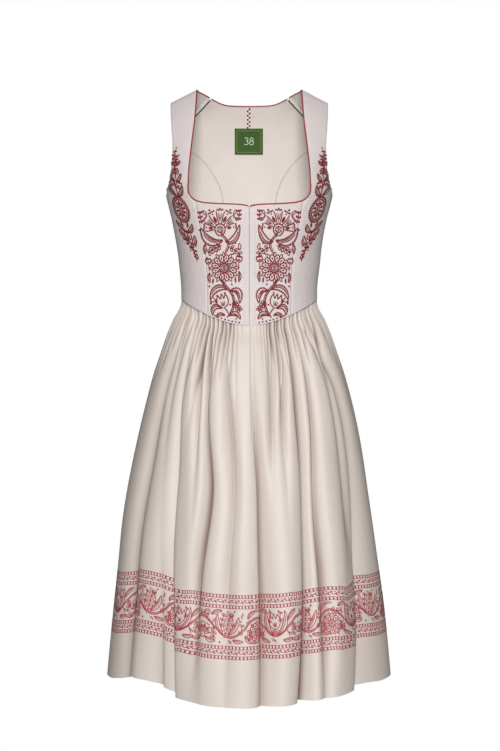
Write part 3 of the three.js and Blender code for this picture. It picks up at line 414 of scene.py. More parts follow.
# Valleys between folds. Place in degrees at the six levels, depth in mm, half width in degrees
# at waist and hem, and how far the neighbouring fold leans over the valley (degrees; plus: the
# right-hand fold leans to the left).
FOLDS = [
    ("side_l", (-84, -86, -88, -89, -90, -91), (0, 0, 0, 0, 1.5, 4), (2.8, 3.4), (0, 0, 0, 0, -1, -1)),
    ("flank_l", (-60, -60, -60, -60, -56, -52), (0, 0, 1, 2, 4, 8), (9.0, 9.0), (0, 0, 0, 0, 0, 0)),
    ("hip_l2", (-64, -66, -66, -66.5, -68.5, -66.5), (4.6, 6.9, 8, 12.5, 13.5, 10.1), (2.6, 3.6), (0, 0, 0, 0, 0, 0)),
    ("hip_l", (-59, -60, -60, -55, -51, -48), (5.8, 8, 6, 2.5, 6, 14), (2.4, 3.4), (0, 0, 0, 0, 1, 2)),
    ("step_l", (-54, -54, -51.5, -44.8, -40.3, -34), (8, 14.9, 19, 26.9, 31.4, 44), (2.2, 3.5), (0, 0, 2, 4, 6, 9)),
    ("thigh_l", (-41, -41, -38, -33, -31, -31), (9.2, 12.6, 13, 3.9, 0, 0), (2.0, 3.0), (0, 0, 1, 0, 0, 0)),
    ("thigh_l2", (-33, -33, -32, -23.5, -27, -26.5), (4.6, 10.3, 16.0, 24.0, 22.5, 6.7), (1.9, 3.5), (0, 0, 0, 1, 1, 0)),
    ("front_l", (-23, -20, -14, -8.8, -10.5, -11), (5.8, 8, 11.0, 11.5, 10.5, 5.6), (2.0, 4.6), (0, 0, 0, -1, 0, 0)),
    ("front_l2", (-17, -17, -19, -19, -19, -19), (3, 2, 0, 0, 0, 0), (1.8, 3.0), (0, 0, 0, 0, 0, 0)),
    ("centre", (0.8, 1.2, 2.9, 5.8, 6.2, 5.2), (0.5, 1.4, 6.4, 23.0, 30.0, 27.5), (1.8, 4.5), (0, 0, -0.8, -3.0, -3.4, -3.0)),
    ("front_r", (21, 20, 17, 15, 14, 14), (6.9, 8, 7.8, 1.3, 0, 0), (2.0, 3.6), (0, 0, 0, 0, 0, 0)),
    ("front_r2", (29, 30, 24.5, 24, 24, 24), (6.9, 9.2, 9.1, 2.6, 0, 0), (1.9, 3.0), (0, 0, 0, 0, 0, 0)),
    ("step_r", (36, 37, 35.8, 35.4, 32.0, 25.8), (9.2, 14.9, 20.2, 31.4, 38.1, 46.1), (1.8, 3.3), (0, 0, -0.6, -1.6, -2.0, -2.0)),
    ("thigh_r", (44, 46, 45.5, 43.0, 42.0, 38), (6.9, 10.3, 13, 15.6, 22.1, 14.6), (1.8, 3.0), (0, 0, 0, 0, 0, 0)),
    ("hip_r2", (51, 58, 62, 62, 60, 56), (4.6, 8, 10.4, 11.5, 6.0, 0), (2.1, 3.4), (0, 0, 0, 0, 0, 0)),
    ("hip_r", (60, 64, 70.5, 71, 64.5, 53), (6.9, 10.3, 13.8, 19.5, 25.3, 38.2), (2.4, 3.7), (0, 0, 0, -2, -5, -8)),
    ("side_r", (84, 86, 88, 90, 92, 94), (0, 0, 0, 0, 1.5, 4), (2.7, 3.6), (0, 0, 0, 0, 0, 0)),
    ("flank_r", (66, 66, 66, 66, 66, 66), (0, 0, 0, 1, 2, 4), (6.0, 7.5), (0, 0, 0, 0, 0, 0)),
    ("back_1", (97, 100, 101, 102, 102, 101), (4, 6, 9, 13, 18, 27), (2.6, 4.0), (0, 0, 0, 1, 2, 3)),
    ("back_2", (108, 112, 116, 118, 120, 121), (5, 8, 11, 16, 24, 36), (2.2, 3.8), (0, 0, 1, 2, 5, 7)),
    ("back_2b", (118, 121, 125, 129, 130, 131), (5, 7, 8, 6, 4, 0), (2.0, 3.4), (0, 0, 0, 0, 0, 0)),
    ("back_3", (128, 131, 134, 139, 141, 141), (5, 7, 8, 12, 16, 22), (2.1, 3.8), (0, 0, 0, -1, -2, -2)),
    ("back_4", (141, 144, 147, 151, 154, 157), (6, 9, 12, 20, 28, 38), (2.0, 3.6), (0, 0, -1, -3, -5, -7)),
    ("back_5", (150, 153, 157, 161, 166, 168), (5, 7, 7, 8, 8, 8), (2.0, 3.8), (0, 0, 0, 0, 0, 0)),
    ("back_6", (163, 165, 168, 173, 177, 178), (5, 8, 10, 14, 17, 24), (2.0, 3.8), (0, 0, 0, 1, 2, 2)),
    ("back_7", (176, 178, 182, 186, 189, 191), (6, 9, 11, 18, 27, 36), (2.0, 3.6), (0, 0, 1, 3, 5, 7)),
    ("back_8", (189, 191, 193, 196, 200, 203), (5, 7, 8, 8, 9, 9), (2.0, 3.6), (0, 0, 0, 0, 0, 0)),
    ("back_9", (202, 204, 206, 210, 213, 216), (6, 8, 10, 15, 19, 26), (2.0, 3.8), (0, 0, 0, -1, -2, -3)),
    ("back_10", (214, 217, 221, 225, 229, 230), (5, 7, 9, 11, 13, 14), (2.0, 3.8), (0, 0, 0, 0, 0, 0)),
    ("back_11", (227, 230, 232, 235, 237, 239), (6, 9, 12, 19, 28, 38), (2.2, 3.8), (0, 0, -1, -3, -5, -7)),
    ("back_12", (241, 243, 245, 248, 250, 252), (5, 7, 8, 12, 16, 22), (2.3, 4.0), (0, 0, 0, 0, 0, 0)),
    ("back_13", (253, 254, 256, 258, 259, 260), (3, 4, 5, 6, 8, 10), (2.6, 3.2), (0, 0, 0, 0, 0, 0)),
]

# fine gathers under the waist seam: place, depth, half width, how far down they run
GATHERS = []
_a = -90.0
while _a < 270.0:
    front = abs(((_a + 180) % 360) - 180)
    calm = np.interp(front, [0, 12, 20, 28], [0.06, 0.22, 0.9, 1.0])
    GATHERS.append((_a + rng.uniform(-0.5, 0.5), calm * rng.uniform(6.0, 10.5), rng.uniform(0.75, 1.15),
                    rng.uniform(0.10, 0.24) * (1.7 if rng.random() < 0.35 else 1.0), rng.uniform(-0.25, 0.25)))
    _a += rng.uniform(3.0, 4.9)


def wrap(a):
    return (a + 180.0) % 360.0 - 180.0


def skirt_surface(phi0, t, depth=False):
    """Points of the skirt for cloth angles phi0 (degrees) and levels t (0 waist to 1 hem)."""
    phi0, t = np.broadcast_arrays(np.asarray(phi0, float), np.asarray(t, float))
    dr = np.zeros_like(phi0); dp = np.zeros_like(phi0); painted_fold_shade = np.zeros_like(phi0)
    ramp = smooth((t + 0.012) / 0.055)
    for name, deg, deep, half, lean in FOLDS:
        a = wrap(phi0 - read(LEVELS, deg, t))
        D = read(LEVELS, deep, t) * ramp
        h = half[0] + (half[1] - half[0]) * t
        L = read(LEVELS, lean, t)
        sg = np.where(L >= 0, 1.0, -1.0); mag = np.abs(L)
        s = a * sg                                     # plus: the side of the leaning fold
        far = h * (1 + 0.17 * mag); near = h * (1 + 0.03 * mag)
        q = np.where(s > 0, s / near, s / far)
        dr += D * (0.74 * np.exp(-np.abs(q) ** 1.55) + 0.26 * np.exp(-(q / 2.0) ** 2))
        dp += -L * np.exp(-((s / h - 1.25) / 0.95) ** 2)
    for a0, D, h, end, drift in GATHERS:
        a = wrap(phi0 - a0 - drift * t * 60)
        k = 1 - smooth(t / end)
        w = D * k * np.exp(-np.abs(a / (h * (1 + 2.6 * t))) ** 1.5)
        # painted shade: the deeper gathers get a darker tone down in their valleys
        dr += w; painted_fold_shade += np.clip(w - 1.2, 0, None) / 7.0
    # slow unevenness of the cloth
    for k, (n, m, amp) in enumerate(((5, 0.25, 1.5), (9, 0.4, 1.1), (14, 0.55, 0.8), (23, 0.8, 0.4))):
        dr += amp * smooth(t / 0.25) * np.sin(np.radians(phi0 * n) + 6.3 * m * t + k * 1.7)
    # the short slit of the front opening: a fine groove down to about a third
    slit = 1 - smooth((t - 0.27) / 0.06)
    dr += 0.7 * slit * np.exp(-((phi0 - 0.0) / 0.36) ** 2)
    # painted shade along the slit's groove
    painted_fold_shade += 0.62 * slit * np.exp(-((phi0 + 0.12) / 0.30) ** 2)
    dp += (0.9 + 0.0 * t) * np.exp(-(phi0 / 9.0) ** 2) * slit
    phi = np.radians(phi0 + dp)
    s, c = np.sin(phi), np.cos(phi)
    d = np.where(c >= 0, read(SKIRT[:, 0], SKIRT[:, 2], t), read(SKIRT[:, 0], SKIRT[:, 3], t))
    n = read(SKIRT[:, 0], SKIRT[:, 4], t)
    r = (np.abs(s / read(SKIRT[:, 0], SKIRT[:, 1], t)) ** n + np.abs(c / d) ** n) ** (-1 / n)
    ztop = waist_z(phi) + 1.6
    top = fig_point(phi, ztop)
    r = np.hypot(top[..., 0], top[..., 1]) + (r - np.hypot(top[..., 0], top[..., 1])) * smooth(t / 0.06)
    r = r - dr - 1.15 * (1 - smooth(t / 0.007))
    zh = HEM_Z - HEM_DIP * np.maximum(0, c) ** HEM_POWER
    # the left flank hangs a little higher, as its fold is drawn up
    lift = np.interp(wrap(phi0), [-84, -77, -70, -64, -56, -48, -41, -36], [0, 1.5, 8, 17, 18, 14, 8, 0]) \
        + np.interp(wrap(phi0), [50, 58, 66, 74], [0, 3.5, 3.5, 0])
    zh = zh + lift * smooth((t - 0.25) / 0.75)
    P = np.stack([r * s, -r * c, ztop + (zh - ztop) * t], -1)
    # the skirt swings a little to the left half way down
    P[..., 0] -= 3.6 * np.exp(-((t - 0.56) / 0.17) ** 2)
    # with depth, also the folds' depth and the painted shade of the gathers and the slit
    return (P, dr, painted_fold_shade) if depth else P


# =====================================================================================
# Materials: every one a node tree of its own
# =====================================================================================
def srgb(r, g, b):
    def f(c):
        c = c / 255.0
        return c / 12.92 if c <= 0.04045 else ((c + 0.055) / 1.055) ** 2.4
    k = 0.88          # dyed cloth sends back a little less than its tone on screen under this light
    return (k * f(r), k * f(g), k * f(b), 1.0)


class Nodes:
    """A small helper that builds a node tree."""
    def __init__(self, name):
        self.mat = bpy.data.materials.new(name)
        self.mat.use_nodes = True
        self.t = self.mat.node_tree
        self.t.nodes.clear()
        self.out = self.t.nodes.new("ShaderNodeOutputMaterial")
        self.bsdf = self.t.nodes.new("ShaderNodeBsdfPrincipled")
        self.t.links.new(self.bsdf.outputs[0], self.out.inputs["Surface"])

    def node(self, kind, **props):
        n = self.t.nodes.new(kind)
        for k, v in props.items():
            setattr(n, k, v)
        return n

    def link(self, a, b):
        self.t.links.new(a, b)

    def value(self, sock, v):
        if hasattr(v, "is_linked") or hasattr(v, "links"):
            self.link(v, sock)
        else:
            sock.default_value = v

    def math(self, op, a, b=0.0, c=None, clamp=False):
        n = self.node("ShaderNodeMath", operation=op)
        n.use_clamp = clamp
        self.value(n.inputs[0], a); self.value(n.inputs[1], b)
        if c is not None:
            self.value(n.inputs[2], c)
        return n.outputs[0]

    def ramp(self, fac, stops, mode="LINEAR"):
        n = self.node("ShaderNodeValToRGB")
        n.color_ramp.interpolation = mode
        e = n.color_ramp.elements
        e[0].position, e[0].color = stops[0]
        e[1].position, e[1].color = stops[-1]
        for p, c in stops[1:-1]:
            x = e.new(p); x.color = c
        self.link(fac, n.inputs[0])
        return n.outputs[0]

    def mix(self, fac, a, b, mode="MIX"):
        n = self.node("ShaderNodeMix", data_type="RGBA", blend_type=mode)
        self.value(n.inputs[0], fac); self.value(n.inputs[6], a); self.value(n.inputs[7], b)
        return n.outputs[2]

    def uv(self, name="UVMap"):
        n = self.node("ShaderNodeUVMap"); n.uv_map = name
        return n.outputs[0]

    def scaled(self, vec, sx, sy, sz=1.0, rot=0.0):
        n = self.node("ShaderNodeMapping")
        n.inputs["Scale"].default_value = (sx, sy, sz)
        n.inputs["Rotation"].default_value = (0, 0, rot)
        self.link(vec, n.inputs["Vector"])
        return n.outputs[0]

    def noise(self, vec, scale, detail=2.0, rough=0.5, dims="3D"):
        n = self.node("ShaderNodeTexNoise", noise_dimensions=dims)
        n.inputs["Scale"].default_value = scale
        n.inputs["Detail"].default_value = detail
        n.inputs["Roughness"].default_value = rough
        self.link(vec, n.inputs["Vector"])
        return n.outputs[0]

    def xy(self, vec):
        n = self.node("ShaderNodeSeparateXYZ"); self.link(vec, n.inputs[0])
        return n.outputs[0], n.outputs[1]

    def bump(self, height, strength, distance, normal=None):
        n = self.node("ShaderNodeBump")
        n.inputs["Strength"].default_value = strength
        n.inputs["Distance"].default_value = distance
        self.link(height, n.inputs["Height"])
        if normal is not None:
            self.link(normal, n.inputs["Normal"])
        return n.outputs[0]


def plain_weave(N, uv, pitch, jitter=0.35):
    """Height of a plain weave with threads `pitch` metres apart."""
    k = 1.0 / pitch
    wob = N.noise(N.scaled(uv, 60, 60), 1.0, 2.0)
    u, v = N.xy(uv)
    w = N.math("MULTIPLY", N.math("SUBTRACT", wob, 0.5), jitter * 2 * pitch)
    uu = N.math("MULTIPLY", N.math("ADD", u, w), math.pi * k)
    vv = N.math("MULTIPLY", N.math("SUBTRACT", v, w), math.pi * k)
    su, sv = N.math("ABSOLUTE", N.math("SINE", uu)), N.math("ABSOLUTE", N.math("SINE", vv))
    # over and under: the sign of the product alternates from crossing to crossing
    par = N.math("MULTIPLY", N.math("SINE", N.math("MULTIPLY", uu, 1.0)), N.math("SINE", N.math("MULTIPLY", vv, 1.0)))
    over = N.math("GREATER_THAN", par, 0.0)
    warp = N.math("MULTIPLY", su, over)
    weft = N.math("MULTIPLY", sv, N.math("SUBTRACT", 1.0, over))
    return N.math("ADD", warp, weft)


def linen_material():
    N = Nodes("linen_cloth")
    uv = N.uv()
    weave = plain_weave(N, uv, 0.00062)
    slub_v = N.noise(N.scaled(uv, 1500, 26), 1.0, 3.0, 0.6)
    slub_u = N.noise(N.scaled(uv, 26, 1500), 1.0, 3.0, 0.6)
    slub = N.math("MULTIPLY", N.math("ADD", slub_u, slub_v), 0.5)
    big = N.noise(N.scaled(uv, 9, 9), 1.0, 3.0, 0.55)
    tone = N.ramp(slub, [(0.34, srgb(216, 207, 207)), (0.52, srgb(240, 231, 231)), (0.68, srgb(248, 241, 240))])
    tone = N.mix(N.math("MULTIPLY", weave, 0.22), N.mix(1.0, tone, (0.88, 0.87, 0.87, 1), "MULTIPLY"), tone)
    tone = N.mix(N.math("MULTIPLY", N.math("SUBTRACT", big, 0.35, clamp=True), 0.35), tone, srgb(216, 208, 208))
    N.link(tone, N.bsdf.inputs["Base Color"])
    N.link(N.ramp(weave, [(0.0, (0.93,) * 3 + (1,)), (1.0, (0.80,) * 3 + (1,))]), N.bsdf.inputs["Roughness"])
    N.bsdf.inputs["Specular IOR Level"].default_value = 0.28
    N.bsdf.inputs["Sheen Weight"].default_value = 0.12
    N.bsdf.inputs["Sheen Roughness"].default_value = 0.5
    h = N.math("ADD", weave, N.math("MULTIPLY", slub, 1.4))
    b = N.bump(h, 0.35, 0.00022)
    crease = N.noise(N.scaled(uv, 34, 12), 1.0, 3.0, 0.5)
    b = N.bump(crease, 0.14, 0.0016, b)
    N.link(b, N.bsdf.inputs["Normal"])
    return N.mat


def lining_material():
    N = Nodes("lining_cotton")
    uv = N.uv()
    weave = plain_weave(N, uv, 0.00040)
    big = N.noise(N.scaled(uv, 7, 7), 1.0, 3.0, 0.55)
    fine = N.noise(N.scaled(uv, 900, 900), 1.0, 2.0, 0.6)
    tone = N.ramp(big, [(0.3, srgb(230, 221, 215)), (0.7, srgb(240, 232, 227))])
    tone = N.mix(N.math("MULTIPLY", fine, 0.25), tone, srgb(218, 209, 202))
    N.link(tone, N.bsdf.inputs["Base Color"])
    N.link(N.ramp(fine, [(0.2, (0.78,) * 3 + (1,)), (0.8, (0.9,) * 3 + (1,))]), N.bsdf.inputs["Roughness"])
    N.bsdf.inputs["Specular IOR Level"].default_value = 0.25
    N.bsdf.inputs["Sheen Weight"].default_value = 0.1
    b = N.bump(N.math("ADD", weave, fine), 0.25, 0.00012)
    b = N.bump(N.noise(N.scaled(uv, 22, 14), 1.0, 2.0, 0.5), 0.10, 0.0015, b)
    N.link(b, N.bsdf.inputs["Normal"])
    return N.mat


def satin_material(name="satin_cloth", inside=False):
    N = Nodes(name)
    uv = N.uv()
    # satin: long warp floats in steps of five, seen as fine slanted grain
    u, v = N.xy(uv)
    k = 1.0 / 0.00034
    row = N.math("FLOOR", N.math("MULTIPLY", v, k))
    ph = N.math("MULTIPLY", row, 2.0 / 5.0)
    floats = N.math("FRACT", N.math("ADD", N.math("MULTIPLY", u, k / 5.0), ph))
    tie = N.math("LESS_THAN", floats, 0.2)
    thread = N.math("ABSOLUTE", N.math("SINE", N.math("MULTIPLY", u, math.pi * k)))
    grain = N.noise(N.scaled(uv, 1900, 60), 1.0, 2.0, 0.6)
    big = N.noise(N.scaled(uv, 6, 3), 1.0, 3.0, 0.55)
    light, mid, deep = srgb(230, 223, 216), srgb(225, 216, 208), srgb(217, 206, 197)
    tone = N.ramp(big, [(0.25, deep), (0.5, mid), (0.8, light)])
    tone = N.mix(N.math("MULTIPLY", grain, 0.30), tone, srgb(208, 195, 185))
    tone = N.mix(N.math("MULTIPLY", tie, 0.10), tone, srgb(194, 179, 168))
    # painted shade: a deeper, warmer tone painted down inside the folds, the gathers and the slit, where the light
    # reaches less
    if not inside:
        painted_fold_shade = N.xy(N.uv("Pocket"))[0]
        tone = N.mix(N.math("MULTIPLY", painted_fold_shade, 0.88), tone, srgb(128, 96, 82))
    N.link(tone, N.bsdf.inputs["Base Color"])
    rough = N.math("ADD", 0.40, N.math("MULTIPLY", grain, 0.14))
    N.link(rough, N.bsdf.inputs["Roughness"])
    N.bsdf.inputs["Specular IOR Level"].default_value = 0.45
    N.bsdf.inputs["Sheen Weight"].default_value = 0.02
    N.bsdf.inputs["Sheen Roughness"].default_value = 0.4
    h = N.math("SUBTRACT", N.math("MULTIPLY", thread, 0.6), N.math("MULTIPLY", tie, 0.8))
    h = N.math("ADD", h, N.math("MULTIPLY", grain, 1.6))
    b = N.bump(h, 0.22, 0.00012)
    soft = N.noise(N.scaled(uv, 26, 7), 1.0, 3.0, 0.5)
    b = N.bump(soft, 0.16, 0.0022, b)
    N.link(b, N.bsdf.inputs["Normal"])
    return N.mat


def thread_material(name, dark, mid, light, rough=0.55, spec=0.4, grain=2400.0, bump=0.5):
    """Stitched or printed colour; UV runs in millimetres along and across the stroke."""
    N = Nodes(name)
    uv = N.uv()
    fine = N.noise(N.scaled(uv, 0.9, 5.5), 1.0, 2.0, 0.6)
    st = N.math("SINE", N.math("MULTIPLY", N.xy(N.scaled(uv, 1.0, 1.0, 1.0, 0.9))[0], 9.0))
    f = N.math("ADD", N.math("MULTIPLY", fine, 0.7), N.math("MULTIPLY", N.math("ADD", st, 1.0), 0.15))
    tone = N.ramp(f, [(0.22, dark), (0.48, mid), (0.8, light)])
    N.link(tone, N.bsdf.inputs["Base Color"])
    N.link(N.math("ADD", rough, N.math("MULTIPLY", fine, 0.15)), N.bsdf.inputs["Roughness"])
    N.bsdf.inputs["Specular IOR Level"].default_value = spec
    N.bsdf.inputs["Sheen Weight"].default_value = 0.1
    N.link(N.bump(N.math("ADD", fine, N.math("MULTIPLY", st, 0.4)), bump, 0.00018), N.bsdf.inputs["Normal"])
    return N.mat


def print_material():
    N = Nodes("printed_red")
    uv = N.uv()
    fine = N.noise(N.scaled(uv, 2.2, 2.2), 1.0, 3.0, 0.65)
    rub = N.noise(N.scaled(uv, 0.12, 0.12), 1.0, 2.0, 0.5)
    tone = N.ramp(fine, [(0.25, srgb(140, 20, 40)), (0.5, srgb(166, 40, 58)), (0.8, srgb(196, 88, 98))])
    tone = N.mix(N.math("MULTIPLY", rub, 0.25), tone, srgb(208, 128, 134))
    N.link(tone, N.bsdf.inputs["Base Color"])
    N.link(N.math("ADD", 0.45, N.math("MULTIPLY", fine, 0.15)), N.bsdf.inputs["Roughness"])
    N.bsdf.inputs["Specular IOR Level"].default_value = 0.4
    N.link(N.bump(fine, 0.3, 0.00012), N.bsdf.inputs["Normal"])
    return N.mat


def woven_material(name, base, shade, pitch=0.0005, rough=0.8, bump=0.4, metric=True):
    N = Nodes(name)
    uv = N.uv()
    if not metric:
        uv = N.scaled(uv, 0.001, 0.001)
    weave = plain_weave(N, uv, pitch)
    fine = N.noise(N.scaled(uv, 1400, 1400), 1.0, 2.0, 0.6)
    tone = N.mix(N.math("ADD", N.math("MULTIPLY", weave, 0.55), N.math("MULTIPLY", fine, 0.4)), shade, base)
    N.link(tone, N.bsdf.inputs["Base Color"])
    N.link(N.math("ADD", rough - 0.08, N.math("MULTIPLY", fine, 0.16)), N.bsdf.inputs["Roughness"])
    N.bsdf.inputs["Specular IOR Level"].default_value = 0.3
    N.bsdf.inputs["Sheen Weight"].default_value = 0.08
    N.link(N.bump(weave, bump, 0.00018), N.bsdf.inputs["Normal"])
    return N.mat


LINEN = linen_material()
LINING = lining_material()
SATIN = satin_material()
SATIN_IN = satin_material("satin_reverse", True)
STITCH = thread_material("linen_thread", srgb(178, 172, 180), srgb(205, 200, 207), srgb(226, 222, 228), 0.6, 0.35)
RED = thread_material("embroidery_thread", srgb(88, 2, 12), srgb(128, 8, 22), srgb(160, 26, 38), 0.55, 0.4)
PIPE = thread_material("piping_thread", srgb(126, 22, 34), srgb(160, 36, 48), srgb(196, 78, 86), 0.55, 0.4)
PRINT = print_material()
DARK = woven_material("dark_tape", srgb(150, 142, 140), srgb(112, 104, 102))
BROWN = woven_material("brown_edge", srgb(66, 40, 36), srgb(38, 22, 20), metric=False)
WHITE = woven_material("white_tape", srgb(255, 254, 252), srgb(240, 236, 232))
GREEN = woven_material("green_label", srgb(74, 112, 50), srgb(46, 80, 34), 0.00045)
GREEN_EDGE = thread_material("label_thread", srgb(112, 128, 50), srgb(150, 160, 72), srgb(184, 188, 104), 0.6, 0.35)
WHITE_THREAD = thread_material("label_number_thread", srgb(196, 200, 190), srgb(222, 224, 216), srgb(240, 240, 234), 0.6, 0.3)
GREEN_DARK = thread_material("label_edge", srgb(22, 48, 18), srgb(32, 64, 26), srgb(46, 82, 36), 0.6, 0.3)
CHEQ_RED = woven_material("chequer_red", srgb(158, 14, 30), srgb(112, 6, 18), 0.0004)
CHEQ_WHITE = woven_material("chequer_white", srgb(255, 254, 252), srgb(238, 234, 230), 0.0004)


# =====================================================================================
# Bodice
# =====================================================================================
def grid_area(P):
    a = P[1:, 1:] - P[:-1, :-1]; b = P[1:, :-1] - P[:-1, 1:]
    return float(np.linalg.norm(np.cross(a, b), axis=-1).sum() / 2) * 1e-6


def grid_size(P):
    w = np.linalg.norm(np.diff(P, axis=1), axis=2).sum(1).max() * MM
    l = np.linalg.norm(np.diff(P, axis=0), axis=2).sum(0).max() * MM
    return float(w), float(l)


def register(ob, nodes, P=None, flat=None, area=None):
    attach(ob, "root")
    if nodes:
        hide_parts(*nodes)
    if P is not None:
        w, l = grid_size(P)
        A = grid_area(P)
        if flat is None:
            flat, area = (w, l), A
        if min(flat) < 0.0105:                 # a tape narrower than 10 mm is not a sheet
            return ob
        print("SHEET %s flat %.3f x %.3f area %.4f grid %.4f" % (ob.name, flat[0], flat[1], area or flat[0] * flat[1], A))
    return ob


def seam_shape(P, N, seams, edges, groove=0.55, width=1.5, puff=0.25):
    """Sink the cloth into its seams and round its free edges."""
    low = "b" in seams
    seams = seams.replace("b", "")
    d = edge_distance(P, seams) if seams else np.full(P.shape[:2], 1e9)
    if low:
        P = P - N * (0.30 * np.exp(-(edge_distance(P, "b") / 1.1) ** 2))[..., None]
    e = edge_distance(P, edges) if edges else np.full(P.shape[:2], 1e9)
    off = -groove * np.exp(-(d / width) ** 2) + puff * np.exp(-((d - 5.0) / 3.0) ** 2)
    off = off - 0.35 * np.exp(-(e / 0.9) ** 2) + 0.22 * np.exp(-((e - 3.5) / 1.6) ** 2)
    return P + N * off[..., None]


def wavy(P, N, amp, fx, fz, seed):
    """Slight unevenness of worn, steamed cloth."""
    r = np.random.default_rng(seed)
    o = np.zeros(P.shape[:2])
    for _ in range(5):
        a, b, p = r.uniform(-1, 1) / fx, r.uniform(0.3, 1.0) / fz, r.uniform(0, 6.3)
        o += np.sin(6.283 * (a * P[..., 0] + b * P[..., 2]) + p)
    return P + N * (amp * o / 2.2)[..., None]


def side_pair(name, P, N, uv, slot, **kw):
    """Make the right piece and its mirror image."""
    made = []
    for s, Q, M in (("r", P, N), ("l", mirror(P), mirror(N))):
        ob = shell(name + "_" + s + "_cloth", Q, M, kw.get("thick", WALL), uv, kw["mats"], sink=kw.get("sink", 0.0))
        register(ob, [name + "_" + s], Q)
        made.append(ob)
    return made


# fronts by the closure
P0, N0, X0 = front_centre(56, 150, gap=0.16)
uv = cloth_uv(P0)
for s in ("r", "l"):
    P, N = wavy(P0, N0, 0.16, 60, 70, 5 if s == "r" else 6), N0
    d = edge_distance(P, "l")
    P = seam_shape(P, N, "rb", "t")
    off = -0.40 * np.exp(-(d / 0.9) ** 2)                        # rounded edge of the closure
    off = off - 0.80 * np.exp(-((X0 - 9.5) / 1.05) ** 2)          # the topstitched line presses in
    off = off + 0.25 * np.exp(-((X0 - 5.0) / 2.4) ** 2)
    # bone casing: a line beside the princess seam
    r = edge_distance(P, "r")
    off = off - 0.30 * np.exp(-((r - 5.6) / 0.8) ** 2) + 0.22 * np.exp(-((r - 2.9) / 1.6) ** 2)
    if s == "r":                                                  # the under-lap side lies a little deeper
        off = off - 1.25 * (1 - smooth((X0 - 8.6) / 1.3))
    P = P + N * off[..., None]
    P = pull_in(P, "rb", 0.12)
    if s == "l":
        Q, M = mirror(P), mirror(N)
    else:
        Q, M = P, N
    ob = shell("front_centre_" + s + "_cloth", Q, M, WALL, uv, [LINEN, LINING])
    register(ob, ["front_centre_" + s], Q)

# side fronts with their straps
P1, N1 = front_side(40, 130, 200)
uv = cloth_uv(P1)
nr = 130
d = edge_distance(P1, "l"); dr_ = edge_distance(P1, "r")
isp = np.arange(P1.shape[0])[:, None] <= nr
bottom = edge_distance(P1, "b")
Q = P1.copy()
off = np.where(isp, -0.55 * np.exp(-(d / 1.5) ** 2) + 0.25 * np.exp(-((d - 5) / 3) ** 2) - 0.55 * np.exp(-(dr_ / 1.5) ** 2),
               -0.35 * np.exp(-(d / 0.9) ** 2) - 0.35 * np.exp(-(dr_ / 0.9) ** 2)
               + 0.22 * np.exp(-((dr_ - 4.5) / 1.8) ** 2))
off = off - 0.30 * np.exp(-(bottom / 1.1) ** 2)
for s in ("r", "l"):
    P = wavy(P1, N1, 0.28, 55, 60, 11 if s == "r" else 12)
    P = P + N1 * off[..., None]
    # the bottom row, and the side edges of the panel below the strap, are drawn a little into the piece
    P = pull_in(P, "b", 0.12)
    P[:nr] += (unit(P[:nr, 1] - P[:nr, 0]) * 0.10)[:, None] * (np.arange(P.shape[1]) == 0)[None, :, None]
    P[:nr] += (unit(P[:nr, -2] - P[:nr, -1]) * 0.10)[:, None] * (np.arange(P.shape[1]) == P.shape[1] - 1)[None, :, None]
    A, B = (P, N1) if s == "r" else (mirror(P), mirror(N1))
    ob = shell("front_side_" + s + "_cloth", A, B, WALL, uv, [LINEN, LINING])
    register(ob, ["front_side_" + s], A)

# backs
P2, N2 = back_centre(42, 112)
uv = cloth_uv(P2)
P = seam_shape(wavy(P2, N2, 0.2, 60, 80, 21), N2, "lrb", "t")
P = pull_in(P, "lrb", 0.12)
register(shell("back_centre_cloth", P, N2, WALL, uv, [LINEN, LINING]), ["back_centre"], P)
P3, N3 = back_side(36, 96)
uv3 = cloth_uv(P3)
P = seam_shape(wavy(P3, N3, 0.2, 60, 80, 22), N3, "lrb", "")
P = pull_in(P, "lrb", 0.12)
side_pair("back_side", P, N3, uv3, "linen", mats=[LINEN, LINING])

# lining of the back
P = seam_shape(wavy(P2, N2, 0.07, 90, 110, 31), N2, "", "t")
dl = edge_distance(P, "lr")
P = P + N2 * (0.45 * np.exp(-(dl / 1.3) ** 2))[..., None]
P = pull_in(P, "lr", 0.10)
P[:2] = P[:2] + (P[3:5] - P[1:3]) * 0.4
P = pull_in(P, "t", 0.9)
register(shell("lining_back_centre_cloth", P, N2, 0.8, uv, [LINING, LINING], sink=2.3), ["lining_back_centre"], P)
P = wavy(P3, N3, 0.07, 90, 110, 32)
dl = edge_distance(P, "l")
P = P + N3 * (0.45 * np.exp(-(dl / 1.3) ** 2))[..., None]
P = pull_in(P, "l", 0.10)
P = pull_in(P, "r", 0.7)
side_pair("lining_back_side", P, N3, uv3, "lining", mats=[LINING, LINING], sink=2.3, thick=0.8)


